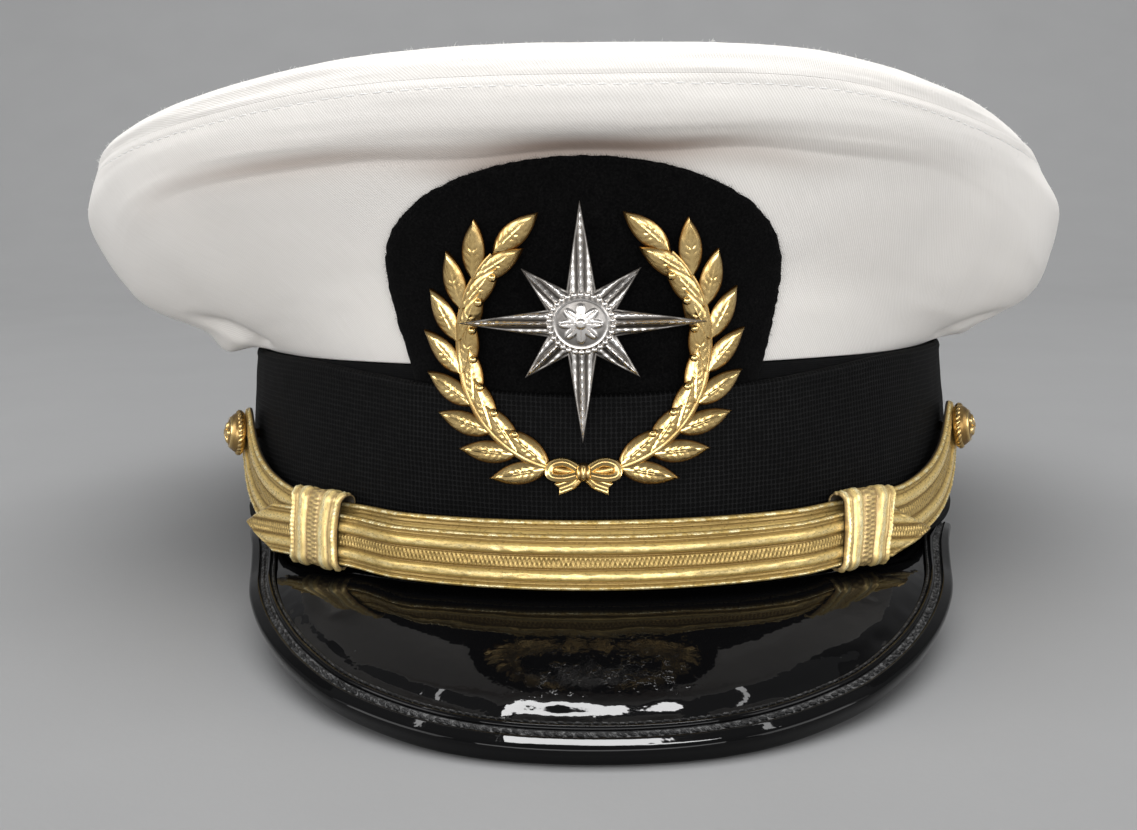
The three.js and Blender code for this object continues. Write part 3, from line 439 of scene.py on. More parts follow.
# ---------------------------------------------------------------- materials
class Nodes:
    def __init__(self, name):
        self.m = bpy.data.materials.new(name)
        self.m.use_nodes = True
        self.t = self.m.node_tree
        self.t.nodes.clear()
        self.out = self.t.nodes.new("ShaderNodeOutputMaterial")
        self.b = self.t.nodes.new("ShaderNodeBsdfPrincipled")
        self.t.links.new(self.b.outputs[0], self.out.inputs[0])

    def set(self, **values):
        for k, v in values.items():
            s = self.b.inputs[k.replace("_", " ")]
            if isinstance(v, bpy.types.NodeSocket):
                self.t.links.new(v, s)
            else:
                s.default_value = tuple(v) + (1,) if isinstance(v, tuple) and len(v) == 3 and s.type == "RGBA" else v

    def put(self, socket, v):
        if isinstance(v, bpy.types.NodeSocket):
            self.t.links.new(v, socket)
        else:
            socket.default_value = v

    def math(self, op, a, b=0.0, c=0.0):
        n = self.t.nodes.new("ShaderNodeMath")
        n.operation = op
        for s, v in zip(n.inputs, (a, b, c)):
            self.put(s, v)
        return n.outputs[0]

    def uv(self):
        n = self.t.nodes.new("ShaderNodeUVMap")
        n.uv_map = "mm"
        s = self.t.nodes.new("ShaderNodeSeparateXYZ")
        self.t.links.new(n.outputs[0], s.inputs[0])
        return s.outputs[0], s.outputs[1]

    def place(self):
        """Where the point is on the object, in millimetres."""
        n = self.t.nodes.new("ShaderNodeTexCoord")
        v = self.t.nodes.new("ShaderNodeVectorMath")
        v.operation = "SCALE"
        self.t.links.new(n.outputs["Object"], v.inputs[0])
        v.inputs["Scale"].default_value = 1000
        return v.outputs[0]

    def join(self, x, y, z=0.0):
        n = self.t.nodes.new("ShaderNodeCombineXYZ")
        for s, v in zip(n.inputs, (x, y, z)):
            self.put(s, v)
        return n.outputs[0]

    def noise(self, at, scale, detail=2.0, rough=0.5):
        n = self.t.nodes.new("ShaderNodeTexNoise")
        self.put(n.inputs["Vector"], at)
        n.inputs["Scale"].default_value = scale
        n.inputs["Detail"].default_value = detail
        n.inputs["Roughness"].default_value = rough
        return n.outputs[0]

    def cells(self, at):
        n = self.t.nodes.new("ShaderNodeTexWhiteNoise")
        n.noise_dimensions = "3D"
        self.put(n.inputs["Vector"], at)
        return n.outputs[0]

    def tone(self, name="tone"):
        n = self.t.nodes.new("ShaderNodeAttribute")
        n.attribute_name = name
        return n.outputs["Fac"]

    def wave(self, x, pitch, shift=0.0):
        """From 0 to 1 and back over each pitch."""
        t = self.math("MULTIPLY", x, 2 * math.pi / pitch)
        return self.math("MULTIPLY_ADD", self.math("COSINE", self.math("ADD", t, shift)), 0.5, 0.5)

    def span(self, x, a, b, lo=0.0, hi=1.0):
        n = self.t.nodes.new("ShaderNodeMapRange")
        n.interpolation_type = "SMOOTHSTEP"
        for s, v in zip(n.inputs, (x, a, b, lo, hi)):
            self.put(s, v)
        return n.outputs[0]

    def mix(self, f, a, b):
        n = self.t.nodes.new("ShaderNodeMix")
        n.data_type = "RGBA"
        self.put(n.inputs[0], f)
        for s, v in ((n.inputs[6], a), (n.inputs[7], b)):
            self.put(s, v if isinstance(v, bpy.types.NodeSocket) else tuple(v) + (1,))
        return n.outputs[2]

    def bump(self, height, distance, strength=1.0, normal=None):
        n = self.t.nodes.new("ShaderNodeBump")
        n.inputs["Strength"].default_value = strength
        n.inputs["Distance"].default_value = distance * 0.001
        self.put(n.inputs["Height"], height)
        if normal:
            self.t.links.new(normal, n.inputs["Normal"])
        self.set(Normal=n.outputs[0])
        return n.outputs[0]


def white_twill():
    n = Nodes("white_twill")
    x, y = n.uv()
    at = n.join(x, y)
    wobble = n.math("MULTIPLY", n.noise(at, 0.35, 2), 1.1)
    line = n.math("ADD", n.math("ADD", n.math("MULTIPLY", x, 0.82), n.math("MULTIPLY", y, 0.572)), n.math("MULTIPLY", wobble, 0.25))
    along = n.math("SUBTRACT", n.math("MULTIPLY", y, 0.82), n.math("MULTIPLY", x, 0.572))
    rib = n.math("POWER", n.wave(line, 0.47), 0.7)
    yarn = n.wave(along, 0.4, n.math("MULTIPLY", n.math("FLOOR", n.math("DIVIDE", line, 0.47)), 2.4))
    height = n.math("ADD", n.math("MULTIPLY", rib, 0.75), n.math("MULTIPLY", n.math("MULTIPLY", yarn, rib), 0.25))
    spread = n.t.nodes.new("ShaderNodeSeparateXYZ")
    n.t.links.new(n.place(), spread.inputs[0])
    flat = n.span(n.math("ABSOLUTE", spread.outputs[0]), 62.0, 98.0, 0.0, 0.85)  # worn smooth round the ends
    height = n.math("MULTIPLY_ADD", n.math("SUBTRACT", 0.62, height), flat, height)
    slub = n.noise(n.join(n.math("MULTIPLY", line, 2.0), n.math("MULTIPLY", along, 0.12)), 1.0, 2)
    soft = n.noise(n.place(), 0.035, 3)
    # darker down the twill's grooves than on its ribs: painted shade in the grooves, with less of it round the ends
    base = n.mix(n.math("MULTIPLY", height, n.span(slub, 0.2, 0.7, 0.75, 1.0)), (0.70, 0.668, 0.628), (0.875, 0.85, 0.818))
    tint = n.mix(n.span(soft, 0.35, 0.75, 0.0, 0.16), base, (0.80, 0.745, 0.69))
    # the tone attribute mixes in brown (0.29, 0.22, 0.18): painted shade in the crease, with some soil
    n.set(Base_Color=n.mix(n.tone(), (0.29, 0.22, 0.18), tint), Roughness=0.92, Sheen_Weight=0.12, Sheen_Roughness=0.5, Specular_IOR_Level=0.25)
    n.bump(n.math("ADD", height, n.math("MULTIPLY", slub, 0.3)), 0.07, 0.55)
    return n.m


def white_thread():
    n = Nodes("white_thread")
    x, y = n.uv()
    ply = n.wave(n.math("ADD", x, y), 0.5)
    n.set(Base_Color=n.mix(ply, (0.74, 0.73, 0.71), (0.90, 0.89, 0.875)), Roughness=0.8, Sheen_Weight=0.2, Specular_IOR_Level=0.3)
    n.bump(ply, 0.05, 0.6)
    return n.m


def white_fibre():
    n = Nodes("white_fibre")
    tone = n.noise(n.place(), 0.4, 1)
    n.set(Base_Color=n.mix(tone, (0.80, 0.79, 0.77), (0.92, 0.915, 0.90)), Roughness=0.9, Specular_IOR_Level=0.2)
    return n.m


def black_cloth():
    n = Nodes("black_cloth")
    x, y = n.uv()
    warp, weft = n.wave(x, 0.42), n.wave(y, 0.42)
    over = n.math("MAXIMUM", n.math("MULTIPLY", warp, 0.8), weft)
    fuzz = n.noise(n.place(), 0.9, 3)
    n.set(Base_Color=n.mix(n.math("MULTIPLY", over, fuzz), (0.0022, 0.0022, 0.0023), (0.010, 0.010, 0.0105)), Roughness=0.9, Sheen_Weight=0.01, Sheen_Roughness=0.4, Specular_IOR_Level=0.06)
    n.bump(over, 0.06, 0.6)
    return n.m


def black_braid():
    n = Nodes("black_braid")
    x, y = n.uv()
    at = n.join(x, y)
    drift = n.math("MULTIPLY", n.math("SUBTRACT", n.noise(at, 0.12, 2), 0.5), 0.5)
    cx, cy = n.wave(n.math("ADD", x, drift), 0.95), n.wave(n.math("ADD", y, n.math("MULTIPLY", drift, 0.7)), 1.03)
    # raised rows and columns round dark pits: the pits and the troughs between the rows are painted darker, painted
    # shade
    pit = n.math("MULTIPLY", n.math("SUBTRACT", 1.0, cx), n.math("SUBTRACT", 1.0, n.math("MULTIPLY", cy, 0.9)))
    net = n.math("SUBTRACT", 1.0, n.span(pit, 0.04, 0.30))
    each = n.cells(n.join(n.math("FLOOR", n.math("DIVIDE", x, 0.95)), n.math("FLOOR", n.math("DIVIDE", y, 1.03))))
    lit = n.math("MULTIPLY", n.math("MULTIPLY", net, n.math("MULTIPLY_ADD", cy, 0.3, 0.7)), n.span(each, 0.0, 1.0, 0.6, 1.15))
    patch = n.noise(n.place(), 0.06, 3)
    dusty = n.mix(n.span(patch, 0.3, 0.8, 0.0, 0.35), (0.0072, 0.0072, 0.0074), (0.0118, 0.0118, 0.0121))
    # the near-black (0.0006) is the painted shade in the pits
    n.set(Base_Color=n.mix(lit, (0.0006, 0.0006, 0.0007), dusty), Roughness=0.7, Sheen_Weight=0.0, Specular_IOR_Level=0.08)
    n.bump(net, 0.16, 0.8)
    return n.m


def black_felt():
    n = Nodes("black_felt")
    p = n.place()
    fine, wide = n.noise(p, 2.2, 4, 0.7), n.noise(p, 0.25, 2)
    lit = n.math("MULTIPLY", n.span(fine, 0.35, 0.75), n.span(wide, 0.2, 0.8, 0.6, 1.0))
    n.set(Base_Color=n.mix(lit, (0.0010, 0.0010, 0.0011), (0.0062, 0.0060, 0.0060)), Roughness=0.98, Sheen_Weight=0.02, Sheen_Roughness=0.6, Specular_IOR_Level=0.03)
    n.bump(fine, 0.22, 0.7)
    return n.m


def felt_fibre():
    n = Nodes("felt_fibre")
    n.set(Base_Color=n.mix(n.noise(n.place(), 0.5, 1), (0.004, 0.004, 0.004), (0.026, 0.025, 0.024)), Roughness=0.85, Specular_IOR_Level=0.08)
    return n.m


def patent_leather():
    n = Nodes("patent_leather")
    p = n.place()
    peel, fine, wide = n.noise(p, 0.38, 2), n.noise(p, 0.85, 3, 0.6), n.noise(p, 0.08, 2)
    dust = n.span(n.noise(p, 1.3, 1), 0.80, 0.86)
    tone = n.tone()
    rough = n.math("ADD", n.math("MULTIPLY", wide, 0.02), n.span(tone, 0.0, 1.0, 0.5, 0.02))
    sewn = n.math("MULTIPLY", n.span(tone, 0.06, 0.01), n.span(n.noise(p, 1.1, 3, 0.7), 0.42, 0.64))
    plain = n.mix(sewn, n.mix(tone, (0.014, 0.014, 0.014), (0.0022, 0.0022, 0.0024)), (0.11, 0.11, 0.11))
    n.set(Base_Color=n.mix(n.math("MULTIPLY", dust, 0.2), plain, (0.25, 0.25, 0.25)), Roughness=rough, Specular_IOR_Level=0.18)
    # crazed in the middle of the plate
    spread = n.t.nodes.new("ShaderNodeSeparateXYZ")
    n.t.links.new(p, spread.inputs[0])
    crazed = n.span(n.math("ABSOLUTE", n.math("SUBTRACT", spread.outputs[0], 5.6)), 20.0, 7.0)
    inward = n.math("MULTIPLY", n.span(spread.outputs[1], -133.0, -129.5), n.span(spread.outputs[1], -114.0, -118.5))
    height = n.math("MULTIPLY", peel, n.math("MULTIPLY_ADD", n.math("MULTIPLY", crazed, inward), 1.2, 1.6))
    flaws = n.math("MULTIPLY_ADD", n.span(n.noise(p, 0.5, 3, 0.6), 0.57, 0.63), 3.0, n.math("MULTIPLY", fine, 2.0))
    cracks = n.math("MULTIPLY", flaws, n.math("MULTIPLY", crazed, inward))
    n.bump(n.math("ADD", n.math("ADD", height, cracks), n.math("MULTIPLY", wide, 3.0)), 0.02, 0.7)
    return n.m


def edge_thread():
    n = Nodes("edge_thread")
    x, y = n.uv()
    ply = n.wave(n.math("ADD", n.math("MULTIPLY", x, 1.0), y), 0.45)
    wear_and_glint = n.noise(n.place(), 0.55, 3, 0.65)
    n.set(Base_Color=n.mix(n.math("MULTIPLY", ply, n.span(wear_and_glint, 0.42, 0.72)), (0.008, 0.008, 0.0085), (0.13, 0.13, 0.13)), Roughness=0.5, Specular_IOR_Level=0.3)
    n.bump(ply, 0.08, 0.7)
    return n.m


def gold_lace(name, gain, wear_and_glint, pale=0.0):
    """x runs along the lace and y across it; beyond y = 20 is its lining."""
    n = Nodes(name)
    x, y = n.uv()
    side = n.math("ABSOLUTE", y)
    tone = n.tone()
    jitter = n.math("MULTIPLY", n.noise(n.join(n.math("MULTIPLY", x, 0.5), n.math("MULTIPLY", y, 1.5)), 1.0, 2), 1.6)
    wound = n.wave(n.math("ADD", x, n.math("MULTIPLY", y, 0.12)), 0.72, jitter)
    plait = n.wave(x, 0.9, n.math("MULTIPLY", n.math("GREATER_THAN", y, 0.0), math.pi))
    cord = n.wave(n.math("ADD", x, n.math("MULTIPLY", side, 0.8)), 0.9)
    middle, edge = n.span(side, 1.25, 1.1), n.span(side, 4.35, 4.45)
    each = n.noise(n.join(n.math("MULTIPLY", x, 1.1), n.math("MULTIPLY", y, 2.6)), 1.0, 2)
    grain = n.noise(n.join(n.math("MULTIPLY", x, 1.2), n.math("MULTIPLY", y, 3.0)), 1.2, 2)
    plain = n.math("SUBTRACT", 1.0, n.math("MAXIMUM", middle, edge))
    thread = n.math("ADD", n.math("MULTIPLY", n.math("MULTIPLY_ADD", wound, 0.18, n.math("MULTIPLY", grain, 0.3)), plain), n.math("ADD", n.math("MULTIPLY", plait, middle), n.math("MULTIPLY", cord, edge)))
    weave = n.math("MULTIPLY_ADD", n.math("SUBTRACT", thread, 1.0), n.math("MULTIPLY_ADD", middle, 0.34, 0.22), 1.0)
    # lit carries the relief's tone and the threads' pattern: painted shade in the grooves and between the threads,
    # painted light on the ridges
    lit = n.math("MULTIPLY", n.math("MULTIPLY", tone, weave), n.span(each, 0.25, 0.75, 0.84, 1.1))
    age = n.noise(n.place(), 0.12, 3)
    # gain scales the colours; with pale it lifts the keepers' copy: painted light
    shade = lambda c: tuple(min(1.0, v * gain + pale) for v in c)
    bright = n.mix(n.span(age, 0.3, 0.8), shade((0.87, 0.635, 0.225)), shade((0.80, 0.57, 0.18)))
    # paler where it bends round the sides: painted light
    spread = n.t.nodes.new("ShaderNodeSeparateXYZ")
    n.t.links.new(n.place(), spread.inputs[0])
    bright = n.mix(n.span(n.math("ABSOLUTE", spread.outputs[0]), 30.0, 60.0, 0.0, 0.8), bright, (1.0, 0.74, 0.28))
    # painted highlights: glints in dashes on the cords along the edges and in places on the ridges
    glint_dashes = n.span(n.noise(n.join(n.math("MULTIPLY", x, 0.4), n.math("MULTIPLY", y, 0.8)), 1.0, 2, 0.6), 0.44, 0.60)
    cords = n.span(n.math("ABSOLUTE", n.math("SUBTRACT", side, 4.82)), 0.34, 0.12)
    ridges = n.math("MULTIPLY", n.span(n.math("ABSOLUTE", n.math("SUBTRACT", side, 2.5)), 0.6, 0.1), wear_and_glint)
    glint = n.math("MINIMUM", n.math("MAXIMUM", n.math("MULTIPLY", glint_dashes, cords), n.math("MULTIPLY", ridges, n.math("MULTIPLY_ADD", glint_dashes, 0.55, 0.35))), 1.0)
    # the dark colour is painted shade in the grooves; (1.0, 0.87, 0.50) is the painted highlight of the glints
    lace = n.mix(glint, n.mix(lit, shade((0.22, 0.122, 0.027)), bright), (1.0, 0.87, 0.50))
    lining = n.span(side, 15.0, 16.0)
    n.set(Base_Color=n.mix(lining, lace, (0.03, 0.022, 0.012)), Metallic=n.span(side, 15.0, 16.0, 0.55, 0.0), Roughness=n.math("ADD", n.math("SUBTRACT", n.span(each, 0.3, 0.7, 0.26, 0.42), n.math("MULTIPLY", glint, 0.1)), n.math("MULTIPLY", lining, 0.3)), Specular_IOR_Level=0.5)
    n.bump(n.math("ADD", n.math("MULTIPLY", plait, middle), n.math("MULTIPLY", cord, edge)), 0.05, 0.3)
    return n.m


def metal(name, dark, light, bright, rough, low=0.25):
    n = Nodes(name)
    p = n.place()
    tone = n.tone()
    wear, fine = n.noise(p, 0.25, 3), n.noise(p, 2.5, 3, 0.6)
    # lit follows the tone attribute, which each piece sets lower in its hollows and at its rims: painted shade there
    # and painted light on the raised parts; the wear noise adds real wear
    lit = n.span(n.math("ADD", tone, n.math("MULTIPLY", n.math("SUBTRACT", wear, 0.5), 0.35)), low, 0.8)
    n.set(Base_Color=n.mix(lit, dark, n.mix(wear, light, bright)), Metallic=1.0, Roughness=n.math("ADD", n.span(lit, 0.0, 1.0, rough + 0.22, rough), n.math("MULTIPLY", fine, 0.08)))
    n.bump(fine, 0.02, 0.35)
    return n.m


WHITE, THREAD, FIBRE = white_twill(), white_thread(), white_fibre()
CLOTH_BLACK, BRAID_BLACK, FELT, FELT_FIBRE = black_cloth(), black_braid(), black_felt(), felt_fibre()
PATENT, EDGE_THREAD = patent_leather(), edge_thread()
# the keepers' copy of the lace is lighter and paler, with stronger ridge glints: painted light
LACE_GOLD, LOOP_GOLD_PAINTED_LIGHTER = gold_lace("gold_lace", 0.77, 0.4), gold_lace("gold_lace_loop_painted_lighter", 1.14, 1.2, 0.09)
GOLD = metal("gold_metal", (0.16, 0.075, 0.018), (0.83, 0.56, 0.20), (0.93, 0.70, 0.33), 0.16)
SILVER = metal("silver_metal", (0.10, 0.09, 0.08), (0.78, 0.74, 0.70), (0.92, 0.89, 0.86), 0.2)


# ---------------------------------------------------------------- band and braid
def turn(n):
    return -math.pi + 2 * math.pi * np.arange(n + 1) / n


def round_length(P):
    """How far along a closed line of corners each one is, with the full length last."""
    step = np.linalg.norm(np.roll(P, -1, 0) - P, axis=1)
    return np.r_[0, np.cumsum(step)]


def band_piece():
    phi = turn(288)[:-1]
    z_out = np.r_[0.15, np.linspace(0.7, 41.4, 36), 41.85]
    z_in = z_out[::-1][::3]
    z = np.r_[z_out, 42, 42, 42, z_in, 0.0, 0.0]
    out = np.r_[-0.12, np.zeros(36), -0.12, -0.5, -1.5, -2.5, np.full(len(z_in), -3.0), -2.5, -0.5]
    P = on_band(phi[:, None], z[None], out[None])
    swell = 0.12 * round_noise(phi[:, None], z[None] / 14, 40, 11) * (out[None] > -0.3)
    n = unit(on_band(phi[:, None], z[None], out[None] + 1) - P)
    P = P + n * swell[..., None]
    length = round_length(P[:, 20])
    along = np.r_[0, np.cumsum(np.linalg.norm(np.diff(np.c_[z, out], axis=0), axis=1)), 110]
    UV = np.stack(np.broadcast_arrays(length[:, None], along[None]), -1)
    s = Shape()
    s.loft(P, UV, ring=True)
    build(s, "band_cloth", CLOTH_BLACK, ["band"])


def braid_piece():
    phi = turn(384)[:-1]
    t = np.r_[0.004, 0.012, 0.024, 0.04, np.linspace(0.06, 0.94, 30), 0.96, 0.976, 0.988, 0.996]
    edge = np.r_[0.7, 0.35, 0.12, 0.0, 0.2 * np.ones(30), 0.0, 0.12, 0.35, 0.7]  # the corded selvedges stand a little proud
    top = (braid_top(phi) + 0.9 * ease((np.abs(phi) / DEG - 30) / 20))[:, None]
    z = BRAID["foot"] + t[None] * (top - BRAID["foot"])
    rise = ease((z - 6) / 24)
    outer = GAP + BRAID["wall"] + braid_bulge(phi)[:, None] * rise
    wave = 0.16 * round_noise(phi[:, None], z / 12, 46, 21) + 0.06 * round_noise(phi[:, None], z / 4, 150, 22)
    po = on_band(phi[:, None], z, outer - edge[None] + wave * (edge[None] < 0.5))
    tb = t[::-1][::3]
    zb = BRAID["foot"] + tb[None] * (top - BRAID["foot"])
    pb = on_band(phi[:, None], zb, GAP + 0.15 + braid_bulge(phi)[:, None] * ease((zb - 6) / 24))
    P = np.concatenate([po, pb], 1)
    length = round_length(P[:, 20])
    across = np.r_[t * 40, 40 + (1 - tb) * 40, 82]
    UV = np.stack(np.broadcast_arrays(length[:, None], across[None]), -1)
    s = Shape()
    s.loft(P, UV, ring=True)
    build(s, "braid_ribbon", BRAID_BLACK, ["braid"])


# ---------------------------------------------------------------- crown
# Loose folds of the cover beside the band: the angle of the valley, how deep it is, and the angle, spread and drop of
# the flap that hangs behind it
FOLDS = [(-61.5, 2.6, -70, 6, 3.2), (66.0, 1.6, 75, 6, 1.3), (150.0, 1.2, 162, 9, 1.2), (-138.0, 1.0, -150, 10, 1.0)]


def crown_folds(phi, v):
    out, up = np.zeros_like(phi), np.zeros_like(phi)
    for valley, deep, flap, spread, drop in FOLDS:
        side = np.sign(valley)
        away = lambda at: (phi / DEG - at + 180) % 360 - 180
        past = side * away(valley + side * 4.0 * np.maximum(0, v - 0.4))  # above zero behind the valley
        line = np.where(past > 0, bell(past, 0, 1.2), bell(past, 0, 4.0)) * ease((v - 0.05) / 0.25) * (1 - ease((v - 0.75) / 0.45))
        hang = bell(away(flap), 0, spread) * bell(v, 0.42, 0.2)
        out += 0.35 * drop * hang - deep * line
        up += -drop * hang + 0.5 * deep * line
    return out, up


def crown_cloth(phi, v, below_seam=None, above_seam=None):
    """The cloth's outside at each angle and height, with its wrinkles, puckers and seam."""
    P, N = on_crown(phi, v), crown_normal(phi, v)
    side = phi / DEG
    lift = (0.28 - 0.16 * bell(v, 3.0, 0.7)) * round_noise(phi, v * 2.2, 22, 31) + (0.10 - 0.06 * bell(v, 3.0, 0.7)) * round_noise(phi, v * 5, 60, 32)
    lift = lift * ease(v / 0.8) * (1 - ease((v - 7.6) / 2.0))
    front, middle = 1 - ease((np.abs(side) - 38) / 25), 1 - ease((np.abs(side) - 12) / 30)
    # the crease: sharp below, running out softly above
    nip = np.exp(-np.where(v < 1.97, (1.97 - v) / 0.06, (v - 1.97) / 0.16))
    lift = lift + front * (0.25 * round_noise(phi, v * 0.4, 26, 33) * bell(v, 2.0, 0.3))
    lift = lift - (0.9 * middle + 0.45 * bell(side, -34, 15) + 0.1 * bell(side, 38, 14)) * nip
    # the ends: a little slack on the left, and a flat with two corners on the right
    lift = lift - bell(side, -84, 24) * (0.9 * ease((v - 1.6) / 0.9) * (1 - ease((v - 3.5) / 1.3)) - 0.9 * bell(v, 1.5, 0.55))
    lift = lift + bell(side, 82, 20) * (0.9 * bell(v, 3.15, 0.3) - 2.0 * bell(v, 4.75, 0.6) - 0.9 * bell(v, 2.3, 0.45))
    if below_seam is not None:
        d = below_seam
        pucker = round_noise(phi, d / 6, 190, 34) * 0.75 + round_noise(phi, d / 3, 330, 35) * 0.45
        lift = lift - 0.01 * (1 + 0.7 * pucker) * bell(d, 0, 0.25) - 0.065 * (1 + 0.8 * pucker) * bell(d, 1.75, 0.24) + 0.05 * bell(d, 0.9, 0.5) + 0.11 * pucker * np.exp(-d / 3.5)
        out, up = crown_folds(phi, v)
        P = P + unit(on_band(phi, P[..., 2], 1) - on_band(phi, P[..., 2], 0)) * out[..., None]
        P[..., 2] += up - 0.35 * bell(v, 0.15, 0.2) * ease((np.abs(side) - 30) / 20)
    if above_seam is not None:
        d = above_seam
        pucker = round_noise(phi, -d / 6, 190, 34) * 0.75 + round_noise(phi, -d / 3, 330, 35) * 0.45
        lift = lift - 0.01 * (1 + 0.7 * pucker) * bell(d, 0, 0.25) + 0.05 * bell(d, 0.9, 0.5) + 0.11 * pucker * np.exp(-d / 5)
    return P + N * lift[..., None]


def run_along(P):
    return np.concatenate([np.zeros(P.shape[:1] + (1,)), np.cumsum(np.linalg.norm(np.diff(P, axis=1), axis=-1), 1)], 1)


def crown_side_piece():
    phi = turn(440)[:-1]
    v = np.r_[0.0, 0.02, 0.05, np.linspace(0.1, 1.7, 34), np.linspace(1.74, 1.89, 6), np.linspace(1.905, 2.1, 14), np.linspace(2.13, 2.5, 12), np.linspace(2.54, 3.6, 22), np.linspace(3.62, 3.999, 18)]
    PHI, V = np.meshgrid(phi, v, indexing="ij")
    run = run_along(on_crown(PHI, V))
    outer = crown_cloth(PHI, V, below_seam=run[:, -1:] - run)
    vi = v[::-1][::5]
    PHI2, VI = np.meshgrid(phi, np.r_[3.93, vi[1:-1], 0.0], indexing="ij")
    inner = crown_cloth(PHI2, VI, below_seam=np.full(PHI2.shape, 30.0)) - crown_normal(PHI2, VI) * CLOTH["wall"]
    P = np.concatenate([outer, inner], 1)
    length = round_length(on_crown(phi, np.full_like(phi, 2.0)))
    across = np.concatenate([run, run[:, -1:] + 2 + np.arange(P.shape[1] - run.shape[1] + 1)[None]], 1)
    across = np.concatenate([across, across[:1]], 0)
    UV = np.stack(np.broadcast_arrays(length[:, None], across), -1)
    deg = PHI / DEG
    # painted shade along the crease, with some soil: the cloth's tone drops to a brown there, most at the front and a
    # little on the left, with a faint band above
    deep = 0.95 * np.exp(-(np.abs(deg - 1) / 16) ** 3) + 0.60 * bell(deg, -32, 16) + 0.10 * bell(deg, 30, 14)
    at = V - 2.1 - 0.05 * round_noise(PHI, V * 0.3, 40, 38)
    crease_shade_and_soil = clamp01(deep * np.where(at < 0, bell(at, 0, 0.20 + 0.08 * bell(deg, -3, 15)), bell(at, 0, 0.26 + 0.08 * bell(deg, 0, 20))) + (0.28 * bell(deg, 20, 8) + 0.35 * bell(deg, -13, 7)) * bell(at, -0.23, 0.12) + 0.10 * (1 - ease((np.abs(deg) - 30) / 30)) * bell(V, 2.55, 0.5))
    tone = np.concatenate([1 - crease_shade_and_soil, np.ones(inner.shape[:2])], 1)
    s = Shape()
    s.loft(P, UV, ring=True, tone=tone)
    build(s, "crown_side_cloth", WHITE, ["crown_side"])


def crown_top_piece():
    phi = turn(440)[:-1]
    v = np.r_[np.linspace(4.001, 4.5, 16), np.linspace(4.54, 5.4, 16), np.linspace(5.5, 9.7, 34), 9.85, 9.97]
    PHI, V = np.meshgrid(phi, v, indexing="ij")
    base = on_crown(PHI, V)
    outer = crown_cloth(PHI, V, above_seam=run_along(base))
    vi = np.r_[4.07, 4.5, 5.0, 5.5, np.linspace(6, 9.7, 9), 9.97]
    PHI2, VI = np.meshgrid(phi, vi, indexing="ij")
    inner = crown_cloth(PHI2, VI, above_seam=np.full(PHI2.shape, 30.0)) - crown_normal(PHI2, VI) * CLOTH["wall"]
    pole = on_crown(np.zeros(1), np.full(1, 10.0))[0] + [0, 0, 0.05]
    s = Shape()

    def flat(P):
        """Unrolled from the middle outwards, so that the weave keeps its size down the rim."""
        far = np.linalg.norm(P[:, -1:] - pole, axis=-1) + (run_along(P)[:, -1:] - run_along(P))
        q = unit(P[..., :2] - pole[:2]) * far[..., None] + 400
        return np.concatenate([q, q[:1]], 0)

    n, m, k = len(phi), len(v), len(vi)
    a = s.grid(outer, flat(outer), ring_u=True)
    b = s.grid(inner, flat(inner), ring_u=True, flip=True)
    s.fan(a + np.arange(n) * m + m - 1, pole, (400, 400))
    s.fan(b + np.arange(n) * k + k - 1, pole - [0, 0, CLOTH["wall"]], (400, 400), flip=True)
    i = np.arange(n)
    j = (i + 1) % n
    uv = flat(outer)
    s.quad(np.stack([a + j * m, a + i * m, b + i * k, b + j * k], -1), np.stack([uv[i + 1, 0], uv[i, 0], uv[i, 0], uv[i + 1, 0]], 1))
    build(s, "crown_top_cloth", WHITE, ["crown_top"])


def crown_stitches():
    """A row of topstitching a little below the crown's seam."""
    rng = np.random.default_rng(5)
    phi = turn(2400)[:-1]
    line = round_length(on_crown(phi, np.full_like(phi, 3.8)))
    s = Shape()
    for below, pitch, seed in ((1.75, 2.75, 0.0),):
        count = int(line[-1] / pitch)
        start = (np.arange(count) + seed) * line[-1] / count
        t = np.linspace(0, 1, 6)
        where = start[:, None] + (t[None] * 0.80 + 0.08) * pitch
        at = np.interp(where % line[-1], line, np.r_[phi, math.pi])
        # the height on the line that is the wanted distance below the seam
        fine = np.linspace(3.3, 3.999, 60)
        grid = on_crown(at.ravel()[:, None], fine[None])
        run = run_along(grid)
        far = run[:, -1:] - run
        v = np.array([np.interp(-(below + d), -f, fine) for f, d in zip(far, np.repeat(rng.normal(0, 0.05, count), 6))]).reshape(at.shape)
        P, N = crown_cloth(at, v, below_seam=np.full(at.shape, below)), crown_normal(at, v)
        arch = 0.15 * np.sqrt(np.maximum(0, 1 - (2 * t - 1) ** 4)) - 0.12
        s.threads(P + N * arch[None, :, None], N[:, 3], 0.12)
    build(s, "crown_topstitch", THREAD)


def crown_fibres():
    """Loose cotton fibres along the crown's rim."""
    rng = np.random.default_rng(8)
    n = 4800
    phi = rng.uniform(-math.pi, math.pi, n)
    v = np.where(rng.random(n) < 0.85, rng.uniform(4.4, 6.6, n), rng.uniform(3.2, 4.6, n))
    P, N = crown_cloth(phi, v), crown_normal(phi, v)
    d = unit(N + rng.normal(0, 0.7, (n, 3)))
    s = Shape()
    s.strands(P - 0.1 * N, d, rng.uniform(0.25, 0.9, n) * rng.uniform(0.6, 1.2, n), rng.uniform(0.025, 0.05, n), rng, bend=0.35)
    build(s, "crown_fibres", FIBRE)


# ---------------------------------------------------------------- badge tab
def tab_outline(theta):
    c, s = np.cos(theta), np.sin(theta)
    r = 1 / np.sqrt((c / TAB["half"]) ** 2 + (s / np.where(s > 0, TAB["above"], TAB["below"])) ** 2)
    return np.where(s < 0, np.minimum(r, (TAB["centre_z"] - TAB["tuck"]) / np.maximum(-s, 1e-6)), r)


